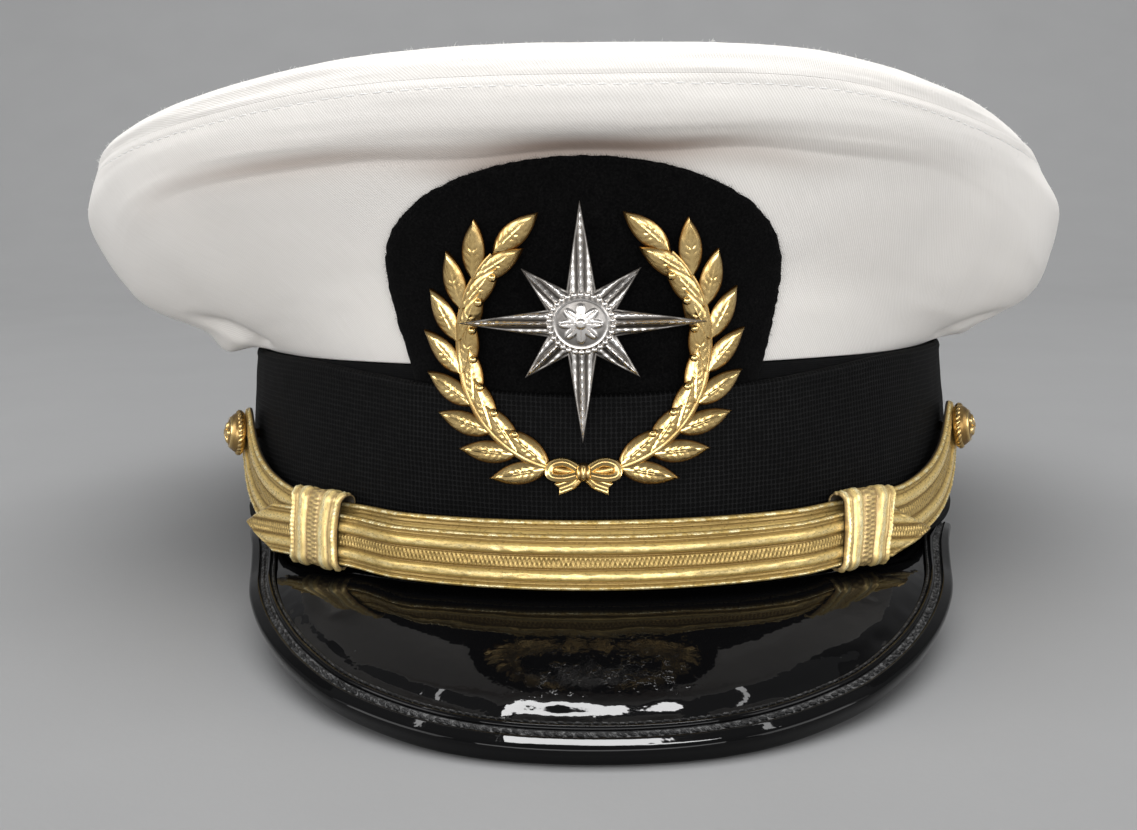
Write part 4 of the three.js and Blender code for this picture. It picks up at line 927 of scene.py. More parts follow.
def tab_piece():
    theta = 2 * math.pi * np.arange(260) / 260
    rho = np.r_[np.linspace(0.06, 0.92, 24), 0.94, 0.955, 0.968, 0.979, 0.988, 0.995, 1.0]
    R = tab_outline(theta)
    ragged = 1 + 0.004 * noise(theta * 30, 0, 41) + 0.0025 * noise(theta * 90, 3, 42)
    T, RHO = np.meshgrid(theta, rho, indexing="ij")
    spread = RHO * (R * ragged)[:, None]
    x, z = spread * np.cos(T), TAB["centre_z"] + spread * np.sin(T)
    edge = clamp01((RHO - 0.93) / 0.07)
    h = 0.75 + 0.75 * np.sqrt(np.maximum(0, 1 - edge**2))
    nap = 0.10 * noise(x / 2.2, z / 2.2, 43) + 0.07 * noise(x / 0.9, z / 0.9, 44) + 0.16 * noise(x / 12, z / 12, 45)
    front = on_tab(x, z, h + nap * (1 - edge**3))
    back_rho = rho[::-1][::4]
    T2, RHO2 = np.meshgrid(theta, back_rho, indexing="ij")
    spread2 = RHO2 * (R * ragged)[:, None]
    x2, z2 = spread2 * np.cos(T2), TAB["centre_z"] + spread2 * np.sin(T2)
    back = on_tab(x2, z2, 0.05 + 0.5 * clamp01((RHO2 - 0.96) / 0.04) ** 2)
    s = Shape()
    wrap = lambda a, b: np.concatenate([np.stack([a, b], -1), np.stack([a, b], -1)[:1]], 0)
    n, m, k = len(theta), len(rho), len(back_rho)
    a = s.grid(front, wrap(x, z), ring_u=True)
    b = s.grid(back, wrap(x2, z2), ring_u=True)
    mid = on_tab(np.zeros(1), np.full(1, TAB["centre_z"]), 1.5)[0]
    rear = on_tab(np.zeros(1), np.full(1, TAB["centre_z"]), 0.05)[0]
    s.fan(a + np.arange(n) * m, mid, (0, 60), flip=True)
    s.fan(b + np.arange(n) * k + k - 1, rear, (0, 60))
    i = np.arange(n)
    j = (i + 1) % n
    s.quad(np.stack([a + i * m + m - 1, a + j * m + m - 1, b + j * k, b + i * k], -1), np.zeros((n, 4, 2)))
    build(s, "badge_tab_felt", FELT, ["badge_tab"])

    rng = np.random.default_rng(12)
    n = 3300
    th = np.where(rng.random(n) < 0.85, rng.uniform(-0.35, math.pi + 0.35, n), rng.uniform(0, 2 * math.pi, n))
    rim = rng.random(n) < 0.72
    share = np.where(rim, rng.uniform(0.965, 1.0, n), np.sqrt(rng.uniform(0.0, 0.95, n)))
    spread = share * tab_outline(th)
    x, z = spread * np.cos(th), TAB["centre_z"] + spread * np.sin(th)
    keep = z > 43
    x, z, th, rim, share = x[keep], z[keep], th[keep], rim[keep], share[keep]
    n = len(x)
    P = on_tab(x, z, 1.35 - 0.8 * clamp01((share - 0.965) / 0.035))
    outward = unit(on_tab(x, z, 2.0) - on_tab(x, z, 1.0))
    away = unit(on_tab(x + np.cos(th), z + np.sin(th), 1.0) - on_tab(x, z, 1.0))
    d = unit(np.where(rim[:, None], away + 0.3 * outward, outward) + rng.normal(0, 0.6, (n, 3)))
    f = Shape()
    f.strands(P, d, np.where(rim, rng.uniform(0.25, 0.7, n), rng.uniform(0.25, 0.5, n)), rng.uniform(0.025, 0.045, n), rng, bend=0.5)
    build(f, "badge_tab_fibres", FELT_FIBRE)


# ---------------------------------------------------------------- visor
def visor_piece():
    u = np.linspace(-1, 1, 281)
    v = np.r_[0, 0.02, 0.05, np.linspace(0.08, 1, 58)]
    U, V = np.meshgrid(u, v, indexing="ij")
    e = 1e-3
    N = unit(np.cross(on_visor(U + e, V) - on_visor(U - e, V), on_visor(U, V + e) - on_visor(U, V - e)))
    N = np.where(N[..., 2:] < 0, -N, N)
    P = on_visor(U, V)
    size = ease((REACH(U * VISOR_END) - 6) / 20)
    d = (1 - V) * (REACH(U * VISOR_END) + 2.6)  # distance in from the edge
    wave = 0.10 * noise(P[..., 0] / 21 + 9, P[..., 1] / 15, 51) + 0.035 * noise(P[..., 0] / 7 + 9, P[..., 1] / 6, 52)
    # the plate dips a little just inside its sewn edge, unevenly, as it was pulled in by the stitches
    pull = -0.10 * bell(d, 5.6, 1.6) * (1 + 1.2 * noise(U * 26, 0.5, 53) + 0.8 * noise(U * 60, 0.5, 54))
    top = P + N * ((wave * ease(d / 5) + pull) * size * ease(V * 8))[..., None]
    vb = v[::-1][::2]
    U2, V2 = np.meshgrid(u, vb, indexing="ij")
    N2 = unit(np.cross(on_visor(U2 + e, V2) - on_visor(U2 - e, V2), on_visor(U2, V2 + e) - on_visor(U2, V2 - e)))
    N2 = np.where(N2[..., 2:] < 0, -N2, N2)
    under = on_visor(U2, V2) - N2 * visor_wall(U2)[..., None]
    L = np.concatenate([top, under], 1)
    run = np.r_[0, np.cumsum(np.linalg.norm(np.diff(P[:, -1], axis=0), axis=1))]
    across = np.r_[v * 44, 44 + (1 - vb) * 44, 90]
    UV = np.stack(np.broadcast_arrays(run[:, None], across[None]), -1)
    tone = np.concatenate([np.ones(top.shape[:2]), np.full(under.shape[:2], 0.15)], 1)
    s = Shape()
    s.loft(L, UV, tone=tone)
    build(s, "visor_plate", PATENT, ["visor"])


def binding_frame(u):
    """Along and up at the visor's edge, and how large the binding is there."""
    e = 1e-3
    at = on_visor(u, np.ones_like(u))
    along = unit(at - on_visor(u, np.full_like(u, 1 - e)))
    up = unit(np.cross(on_visor(u + e, np.ones_like(u)) - on_visor(u - e, np.ones_like(u)), along))
    up = np.where(up[..., 2:] < 0, -up, up)
    room = np.minimum(1, (REACH(u * VISOR_END) + 1) / 5.6)
    size = 1 - 0.5 * thinning(u * VISOR_END)
    return at, along, up, room, size, visor_wall(u)


def binding_piece():
    u = np.linspace(-0.99, 0.99, 580)
    at, along, up, room, size, thick = binding_frame(u)
    # along, up from the visor's top, tone: hem, ridge, sewn channel, rolled bead, and back along the underside
    q = lambda a, b, n: np.linspace(a, b, n)
    squared = lambda t: math.copysign(abs(t) ** 0.62, t)
    bead = np.concatenate([
        np.array([(-1.08, 0.66), (-1.06, 0.96), (-0.96, 1.16), (-0.78, 1.265)]),
        np.stack([q(-0.6, 0.95, 7), q(1.295, 1.343, 7)], -1),
        np.array([(0.95 + 1.2 * abs(math.sin(t)) ** 0.8, -1.0 + 2.343 * abs(math.cos(t)) ** 0.8) for t in q(0.12, math.pi / 2, 12)]),
        np.array([(0.35 + 1.8 * squared(math.sin(t)), -1.0 + 2.42 * squared(math.cos(t))) for t in q(math.pi / 2 + 0.1, math.pi + 0.62, 15)]),
    ])
    ridge = np.array([(-3.35 - 0.62 * math.cos(t), 0.42 + 0.66 * math.sin(t)) for t in np.linspace(0.15, math.pi - 0.15, 11)])
    top = np.concatenate([
        np.array([(-4.75, 0.22), (-4.7, 0.40), (-4.5, 0.50), (-4.25, 0.50)]),
        ridge,
        np.array([(-2.62, 0.45), (-2.4, 0.50), (-2.1, 0.56), (-1.7, 0.58), (-1.35, 0.56), (-1.15, 0.50)]),
        bead,
        np.array([(-1.2, -2.75), (-2.2, -2.80), (-3.4, -2.78), (-3.6, -2.6), (-3.6, -2.3)]),
    ])
    tone = np.concatenate([np.full(4, 0.1), np.ones(11), np.full(6, 0.0), np.ones(len(bead)), np.full(5, 0.2)])
    inner = np.array([(-1.8, -2.28), (0.3, -2.28), (0.32, -1.0), (0.3, 0.28), (-1.8, 0.28), (-4.4, 0.2)])
    sec = np.concatenate([top, inner])
    tone = np.concatenate([tone, np.full(len(inner), 0.1)])
    # levels below the middle follow the plate's thickness
    a = np.where(sec[None, :, 0] < 0, sec[None, :, 0] * room[:, None], sec[None, :, 0] * (0.4 + 0.6 * size[:, None]))
    h = sec[None, :, 1]
    h = np.where(h > -1, h * (0.45 + 0.55 * size[:, None]), h)
    h = np.where(h < -1, -1 + (h + 1) * (0.45 + 0.55 * size[:, None]) - (thick[:, None] - 2) * 0.5, h)
    run = np.r_[0, np.cumsum(np.linalg.norm(np.diff(at, axis=0), axis=1))]
    rough = 0.035 * noise(run[:, None] / 0.9, a * 2.0, 61) * (tone[None] < 0.5) + 0.02 * noise(run[:, None] / 9, a / 3, 62)
    P = at[:, None] + along[:, None] * a[..., None] + up[:, None] * (h + rough)[..., None]
    UV = np.stack(np.broadcast_arrays(run[:, None], np.r_[np.arange(len(sec)) * 0.4, len(sec) * 0.4][None]), -1)
    s = Shape()
    s.loft(P, UV, tone=np.broadcast_to(tone[None], P.shape[:2]))
    build(s, "visor_binding_bead", PATENT, ["visor_binding"])

    rng = np.random.default_rng(14)
    t = np.linspace(0, 1, 6)
    s = Shape()
    for offset, pitch, share, radius, slant in ((-1.85, 1.75, 0.92, 0.33, 0.5), (-4.4, 1.5, 0.85, 0.18, 0.1)):
        count = int(run[-1] / pitch)
        start = (np.arange(count) + 0.5) * run[-1] / count
        where = start[:, None] + (t[None] - 0.5) * share * pitch
        uu = np.interp(where, run, u)
        b_at, b_along, b_up, b_room, b_size, _ = [x.reshape((count, 6) + x.shape[1:]) for x in binding_frame(uu.ravel())]
        a = (offset + slant * (t[None] - 0.5) + rng.normal(0, 0.05, (count, 1))) * b_room
        arch = 0.16 * np.sqrt(np.maximum(0, 1 - (2 * t[None] - 1) ** 4))
        h = (0.48 + arch) * (0.45 + 0.55 * b_size)
        path = b_at + b_along * a[..., None] + b_up * h[..., None]
        keep = b_size[:, 0] > 0.62
        s.threads(path[keep], b_up[keep][:, 3], radius)
    build(s, "visor_edge_stitch", EDGE_THREAD)


# ---------------------------------------------------------------- lace strap
# The lace's ridges on each side of its middle: distance out, half width, height
RIDGES = [(2.55, 1.02, 0.74), (3.98, 0.30, 0.26), (4.80, 0.40, 0.62)]


def lace_relief(a, x):
    """Height of the lace's face at a distance a from its middle line and x along it, and its tone there: painted light
    on the ridges and painted shade in the grooves.
    """
    b = np.abs(a)
    h = np.zeros(np.broadcast(a, x).shape)
    for m, w, t in RIDGES:
        h = np.maximum(h, t * np.maximum(0, 1 - (np.abs(b - m) / w) ** (3.2 if w > 0.5 else 2)) ** 0.5)
    plait = (0.26 + 0.16 * np.cos(2 * math.pi * x / 0.9 + math.pi * (a > 0)) * bell(b, 0.52, 0.36)) * ease((1.2 - b) / 0.2)
    h = np.where(b < 1.2, np.maximum(h, plait), h)
    cord = 0.09 * np.cos(2 * math.pi * (x / 0.9 + b * 0.8)) * bell(b, 4.80, 0.3)
    uneven = 0.05 * noise(x / 1.6, a * 1.2 + 30, 71) + 0.05 * noise(x / 9, a * 0.7 + 60, 72)
    # tone: painted shade, darker the lower the face lies, so lighter on the ridges and darkest in the grooves
    tone = clamp01(0.22 + 1.3 * h)
    return h + cord + uneven * (h > 0.02), tone


def lace_strip(s, line, phi, half, full, wide, back, base, samples, backing, lined=False, rise=0.0):
    """A strip of lace on the strap's line: its face, its edges and its lining."""
    back = back + rise + np.zeros_like(phi)
    middle = on_strap(line, phi, np.zeros_like(phi), back)
    back = back[:, None]
    run = np.r_[0, np.cumsum(np.linalg.norm(np.diff(middle, axis=0), axis=1))]
    k = np.linspace(-1, 1, samples)
    a = half[:, None] * k[None]
    relief, tone = lace_relief(a / wide, run[:, None])
    chamfer = clamp01((full - half) / 0.4)[:, None]  # a cut and folded end
    hem = ease((half[:, None] - np.abs(a)) / (0.45 + 1.3 * chamfer))
    fold = 0.30 * chamfer * bell(half[:, None] - np.abs(a), 0.5, 0.35)
    face = back + base + relief * (0.55 + 0.45 * hem - 0.45 * chamfer * (1 - hem)) + fold
    P = on_strap(line, phi[:, None], a, face)
    kb = np.linspace(1, -1, 9)
    ab = (half[:, None] - 0.08) * kb[None]
    rear = on_strap(line, phi[:, None], ab, np.broadcast_to(back, ab.shape))
    lip_a = on_strap(line, phi[:, None], half[:, None] + 0.0, back + base * 0.45)
    lip_b = on_strap(line, phi[:, None], -half[:, None], back + base * 0.45)
    L = np.concatenate([P, lip_a, rear, lip_b], 1)
    U = np.broadcast_to(run[:, None], L.shape[:2])
    lip = np.full((len(phi), 1), backing)
    Y = np.concatenate([a / wide, lip if lined else half[:, None] / wide, np.full(ab.shape, backing), lip if lined else -half[:, None] / wide], 1)
    UV = np.stack([np.concatenate([U, U[:, :1]], 1), np.concatenate([Y, Y[:, :1]], 1)], -1)
    # the front lace's cut edges take a low tone, 0.12: painted shade along its edges; the back and the lined lips show
    # the lining colour
    T = np.concatenate([tone, np.full((len(phi), 1), 0.12), np.full(ab.shape, 0.12), np.full((len(phi), 1), 0.12)], 1)
    s.loft(L, UV, tone=T)


FRONT_BACK = STRAP["back_wall"] + STRAP["between"]


def strap_pieces():
    last, end = STRAP["back_end"] * DEG, STRAP["round_end"] * DEG
    phi = np.r_[np.linspace(-last, -last + end, 24)[:-1], np.linspace(-last + end, -40 * DEG, 150), np.linspace(-40 * DEG, 40 * DEG, 170)[1:-1], np.linspace(40 * DEG, last - end, 150), np.linspace(last - end, last, 24)[1:]]
    half = STRAP["back"] / 2 * np.sqrt(np.maximum(0.004, 1 - np.maximum(0, (np.abs(phi) - last + end) / end) ** 2))
    s = Shape()
    lace_strip(s, BACK_Z, phi, half, STRAP["back"] / 2, STRAP["back"] / 10.4, 0.0, 0.65, 60, 25.0, lined=True)
    build(s, "strap_back_lace", LACE_GOLD, ["strap_back"])

    first, last = [side * tip * DEG for _, side, tip, _ in SIDES]
    tip = STRAP["tip"]
    phi = np.r_[np.linspace(first, first + tip, 70)[:-1], np.linspace(first + tip, last - tip, 700), np.linspace(last - tip, last, 70)[1:]]
    narrow = (STRAP["tip_width"] + np.minimum(phi - first, last - phi) / (tip * 0.9) * (STRAP["front"] - STRAP["tip_width"])) / STRAP["front"]
    half = STRAP["front"] / 2 * np.minimum(1, narrow)
    s = Shape()
    rise = 0.8 * (1 - ease(np.minimum(phi - first, last - phi) / (tip * 1.2)))
    lace_strip(s, FRONT_Z, phi, half, STRAP["front"] / 2, 1.0, FRONT_BACK, 0.85, 76, 25.0, rise=rise)
    build(s, "strap_front_lace", LACE_GOLD, ["strap_front"])


def keeper_piece(name, side, at, wide, skew):
    """A loop of the same lace round both layers."""
    middle = side * at * DEG
    low, high = -STRAP["front"] / 2 - 0.35, float(BACK_Z(np.array(middle)) - FRONT_Z(np.array(middle))) + STRAP["back"] / 2 + 0.35 + 0.9
    inner, outer = -0.3, FRONT_BACK + 1.6 + GAP
    # a rounded oblong path round the strap's section, and its outward direction
    H, D, r = (high - low) / 2 + 0.2, (outer - inner) / 2, 1.5
    c = ((high + low) / 2, (outer + inner) / 2)
    pts, nor = [], []
    for cx, cy, a0 in ((H - r, D - r, 0), (-(H - r), D - r, 90), (-(H - r), -(D - r), 180), (H - r, -(D - r), 270)):
        for t in np.linspace(0, 90, 9):
            d = np.array([math.cos((a0 + t) * DEG), math.sin((a0 + t) * DEG)])
            pts.append(np.array([cx, cy]) + r * d), nor.append(d)
    # even steps along it
    pts, nor = np.array(pts + pts[:1]), np.array(nor + nor[:1])
    cum = np.r_[0, np.cumsum(np.linalg.norm(np.diff(pts, axis=0), axis=1))]
    m = 132
    t = np.arange(m) * cum[-1] / m
    path = np.stack([np.interp(t, cum, pts[:, k]) for k in (0, 1)], -1)
    nrm = unit(np.stack([np.interp(t, cum, nor[:, k]) for k in (0, 1)], -1))
    k = np.linspace(-1, 1, 64)
    w = wide * k
    relief, tone = lace_relief(np.broadcast_to((w / wide * 5.25)[None], (m, 64)), np.broadcast_to(t[:, None], (m, 64)))
    face = clamp01(0.5 + nrm[:, 1] * 2.2)[:, None]  # plain where it lies behind the strap
    edge = ease((wide - np.abs(w)) / 0.35)[None]
    bulge = 0.35 * bell(path[:, 0], 0, H * 0.7)[:, None] * (nrm[:, 1] > 0.5)[:, None]
    lift = 0.12 + face * (relief * 1.05 * (0.5 + 0.5 * edge) + bulge)
    lift = np.where(face > 0.05, lift + 0.15, 0.18)
    wear = 0.25 * noise(t[:, None] / 7, 3.0, 81 + (side > 0))
    ring = lambda off, ww: (c[0] + path[:, None, 0] + nrm[:, None, 0] * off, c[1] + path[:, None, 1] + nrm[:, None, 1] * off, ww)
    lean = skew * (path[:, 0][:, None] / H)

    def spot(off, ww):
        across, out, _ = ring(off, ww)
        flare = 1 + 0.09 * np.abs(path[:, :1] / H) ** 3 * face
        return on_strap(FRONT_Z, middle + (ww * flare + lean + wear * face) / 92, across, out)

    P = spot(lift, np.broadcast_to(w[None], (m, 64)))
    kb = np.linspace(1, -1, 8)
    wb = np.broadcast_to((wide - 0.1) * kb[None], (m, 8))
    B = spot(np.full((m, 8), -0.28), wb)
    L = np.concatenate([P, B], 1)
    U = np.concatenate([np.broadcast_to(t[:, None], (m, 73)), np.full((1, 73), cum[-1])], 0)
    Y = np.r_[w / wide * 5.25, np.full(8, 25.0), -5.25]
    UV = np.stack([U, np.broadcast_to(Y[None], U.shape)], -1)
    s = Shape()
    s.loft(L, UV, ring=True, tone=np.concatenate([tone, np.full((m, 8), 0.3)], 1))
    build(s, f"keeper_{name}_lace", LOOP_GOLD_PAINTED_LIGHTER, [f"keeper_{name}"])


# ---------------------------------------------------------------- buttons
def button_piece(name, side):
    phi = np.array([side * BUTTON_AT * DEG])
    at = on_strap(BACK_Z, phi, 0.0, STRAP["back_wall"])[0]
    out = unit(at - on_strap(BACK_Z, phi, 0.0, 0.0)[0])
    up = unit(np.array([0, 0, 1.0]) - out[2] * out)
    across = np.cross(up, out)
    at = at + out * GAP
    theta = 2 * math.pi * np.arange(168) / 168
    R = 5.8
    tub = np.linspace(-0.5 * math.pi, 1.5 * math.pi, 17)[:-1]
    s = Shape()
    # the disc: a flat back, a flange and a dome with a plain five-petalled rosette in a ring
    rr = np.r_[1.2, 3.0, 4.9, 5.35, 5.5, 5.4, 5.15, np.linspace(4.95, 0.25, 30)]
    T, RR = np.meshgrid(theta, rr, indexing="ij")
    dome = 1.25 + 2.9 * np.sqrt(np.maximum(0, 1 - (RR / 5.2) ** 2)) * 0.92
    petal = np.abs(np.cos(2.5 * T))
    inside = ease((3.1 * (0.45 + 0.55 * petal) - RR) / 0.5)
    relief = 0.42 * inside * ease(RR / 0.7) + 0.28 * bell(RR, 3.85, 0.28) + 0.35 * bell(RR, 0, 0.7) - 0.22 * bell(petal, 0, 0.18) * inside
    y = np.where(np.arange(len(rr))[None] < 7, np.r_[0.0, 0.0, 0.0, 0.2, 0.6, 1.0, 1.2, np.zeros(30)][None], dome + relief)
    put = lambda r, t, h: at + across * (0.9 * r * np.cos(t))[..., None] + up * (0.9 * r * np.sin(t))[..., None] + out * h[..., None]
    P = put(RR, T, y)
    UV = np.stack([np.concatenate([T, np.full((1, len(rr)), 2 * math.pi)]), np.broadcast_to(rr[None], (169, len(rr)))], -1)
    # tone: lighter on the rosette, its ring and the dome's raised parts, darker round them and on the flat back:
    # painted light and shade
    tone = np.where(np.arange(len(rr))[None] < 7, 0.5, clamp01(0.45 + 1.5 * relief))
    base = s.grid(P, UV, ring_u=True, tone=tone)
    m = len(rr)
    s.fan(base + np.arange(168) * m + m - 1, at + out * (dome[0, -1] + 0.34), (0, 0), 0.9)
    # the shank closes the back and goes into the band
    sh = np.array([(1.2, -0.05), (1.2, -4.0), (0.4, -4.2)])
    T2, S2 = np.meshgrid(theta, sh[:, 0], indexing="ij")
    Q = put(S2, T2, np.broadcast_to(sh[None, :, 1], S2.shape))
    b2 = s.grid(Q, np.zeros((169, 3, 2)), ring_u=True, tone=0.4, flip=True)
    s.fan(b2 + np.arange(168) * 3 + 2, at - out * 4.2, (0, 0), 0.4, flip=True)
    i = np.arange(168)
    j = (i + 1) % 168
    s.quad(np.stack([base + i * m, base + j * m, b2 + j * 3, b2 + i * 3], -1), np.zeros((168, 4, 2)))
    # a rope rim
    T3, K3 = np.meshgrid(theta, tub, indexing="ij")
    w = 0.62 * (1 + 0.20 * np.cos(26 * T3 + 2 * K3))
    r3, y3 = 5.15 + w * np.cos(K3), 1.05 + w * np.sin(K3)
    uv3 = np.zeros((169, 17, 2))
    # the rope's thicker turns take a higher tone: painted light on them, painted shade between
    s.loft(put(r3, T3, y3), uv3, ring=True, tone=clamp01(0.45 + 1.6 * (w - 0.55)))
    build(s, f"button_{name}_metal", GOLD, [f"button_{name}"])


# ---------------------------------------------------------------- badge
STAR = dict(long=22.5, short=14.5, notch=6.6, lift=3.5, edge=1.0, peak=3.2, boss=5.8)
WREATH = dict(radius=23.6, lift=-1.2, leaves=9, first=15, last=138, length=11.5, width=5.6, spread=26, stem=1.5, knot=4.0)


def relief(s, outline, centre, height, rings, floor=0.0, tone=1.0):
    """A closed relief on the badge: the outline filled from its centre, with a height for each point and share of the
    way out; the height function also gives the tone, which paints light on the raised parts and shade in the hollows.
    """
    n, m = len(outline), len(rings)
    P2 = centre + rings[None, :, None] * (outline[:, None] - centre)
    h, t = height(P2[..., 0], P2[..., 1], np.broadcast_to(rings[None], (n, m)))
    top = on_badge(np.concatenate([P2, h[..., None]], -1))
    uv = np.concatenate([P2, P2[:1]], 0)
    a = s.grid(top, uv, ring_u=True, tone=t)
    hc, tc = height(np.array([[centre[0]]]), np.array([[centre[1]]]), np.zeros((1, 1)))
    s.fan(a + np.arange(n) * m, on_badge(np.array([centre[0], centre[1], hc[0, 0]])), centre, tc[0, 0], flip=True)
    foot = on_badge(np.concatenate([outline, np.full((n, 1), floor)], -1))
    # the sides down to the floor take a low tone, 0.2: painted shade
    b = s.corners(foot, 0.2)
    i = np.arange(n)
    j = (i + 1) % n
    s.quad(np.stack([a + i * m + m - 1, a + j * m + m - 1, b + j, b + i], -1), np.zeros((n, 4, 2)))
    s.fan(b + i, on_badge(np.array([centre[0], centre[1], floor])), centre, 0.2)


# beads take a high tone, 0.9 by default: painted light
def ball(s, x, y, z, r, tone=0.9, n=14, m=9):
    th = 2 * math.pi * np.arange(n) / n
    ph = np.linspace(0.2, math.pi - 0.2, m)
    T, Q = np.meshgrid(th, ph, indexing="ij")
    p = np.stack([x + r * np.sin(Q) * np.cos(T), y + r * np.sin(Q) * np.sin(T), z + r * np.cos(Q)], -1)
    a = s.grid(on_badge(p), np.zeros((n + 1, m, 2)), ring_u=True, tone=tone, flip=True)
    s.fan(a + np.arange(n) * m, on_badge(np.array([x, y, z + r])), (0, 0), tone)
    s.fan(a + np.arange(n) * m + m - 1, on_badge(np.array([x, y, z - r])), (0, 0), tone, flip=True)


def star_piece():
    base = BADGE["plate"] + BADGE["cross"]
    c = np.array([0.0, STAR["lift"]])
    tips = []
    for k in range(16):
        r = STAR["notch"] if k % 2 else (STAR["short"] if k % 4 else STAR["long"])
        tips.append([r * math.sin(k * math.pi / 8), STAR["lift"] + r * math.cos(k * math.pi / 8)])
    tips = np.array(tips)
    outline = np.concatenate([tips[k] + (tips[(k + 1) % 16] - tips[k]) * (np.arange(20) / 20)[:, None] for k in range(16)])[::-1]

    def height(x, y, rho):
        dx, dy = x - c[0], y - c[1]
        r, th = np.hypot(dx, dy), np.arctan2(dx, dy)
        near = np.round(th / (math.pi / 4)) * (math.pi / 4)
        q = np.abs(r * np.sin(th - near))  # distance from the ray's middle line
        along = r * np.cos(th - near)
        h = STAR["edge"] + (STAR["peak"] - STAR["edge"]) * (1 - rho)
        mask = ease((0.985 - rho) / 0.1) * ease((r - 5.0) / 1.5)
        flute = np.cos(2 * math.pi * q / 1.55)
        pearl = np.cos(2 * math.pi * along / 1.5)
        cut = 0.20 * flute + 0.10 * pearl * (0.5 + 0.5 * flute)
        # tone: lighter on the crests of the flutes and pearls, darker in their hollows and at the rays' edges: painted
        # light and shade
        return base + h + cut * mask, clamp01(0.55 + 1.9 * cut * mask - 0.5 * bell(rho, 1.0, 0.03))

    s = Shape()
    relief(s, outline, c, height, np.r_[np.linspace(0.05, 0.94, 44), 0.965, 0.985, 1.0], floor=base)
    # the boss: a domed disc with a rosette, in a ring of beads
    th = 2 * math.pi * np.arange(120) / 120
    disc = np.stack([np.cos(th), np.sin(th)], -1) * STAR["boss"] * 0.96 + c
    top = base + STAR["peak"] * 0.85

    def boss(x, y, rho):
        dx, dy = x - c[0], y - c[1]
        r, t = np.hypot(dx, dy), np.arctan2(dx, dy)
        petal = np.abs(np.cos(4 * t))
        inside = ease((3.9 * (0.55 + 0.45 * petal) - r) / 0.5)
        vein = bell(np.sin(4 * t), 0, 0.12) * inside * ease((r - 0.9) / 0.4)
        d = 0.38 * inside - 0.16 * vein + 0.55 * ease((1.05 - r) / 0.45) + 0.22 * bell(r, 4.55, 0.2)
        # tone rises with the rosette's relief: painted light on the rosette and ring, painted shade round them
        return top + 1.15 * np.sqrt(np.maximum(0, 1 - rho**2 * 0.97)) + d, clamp01(0.42 + 1.3 * d)

    relief(s, disc, c, boss, np.r_[np.linspace(0.04, 0.9, 34), 0.95, 0.98, 1.0], floor=top - 1.6)
    for k in range(30):
        a = 2 * math.pi * k / 30
        ball(s, c[0] + 5.35 * math.sin(a), c[1] + 5.35 * math.cos(a), top + 0.25, 0.58, n=12, m=7)
    build(s, "badge_star_metal", SILVER, ["badge_star"], sharp=50)


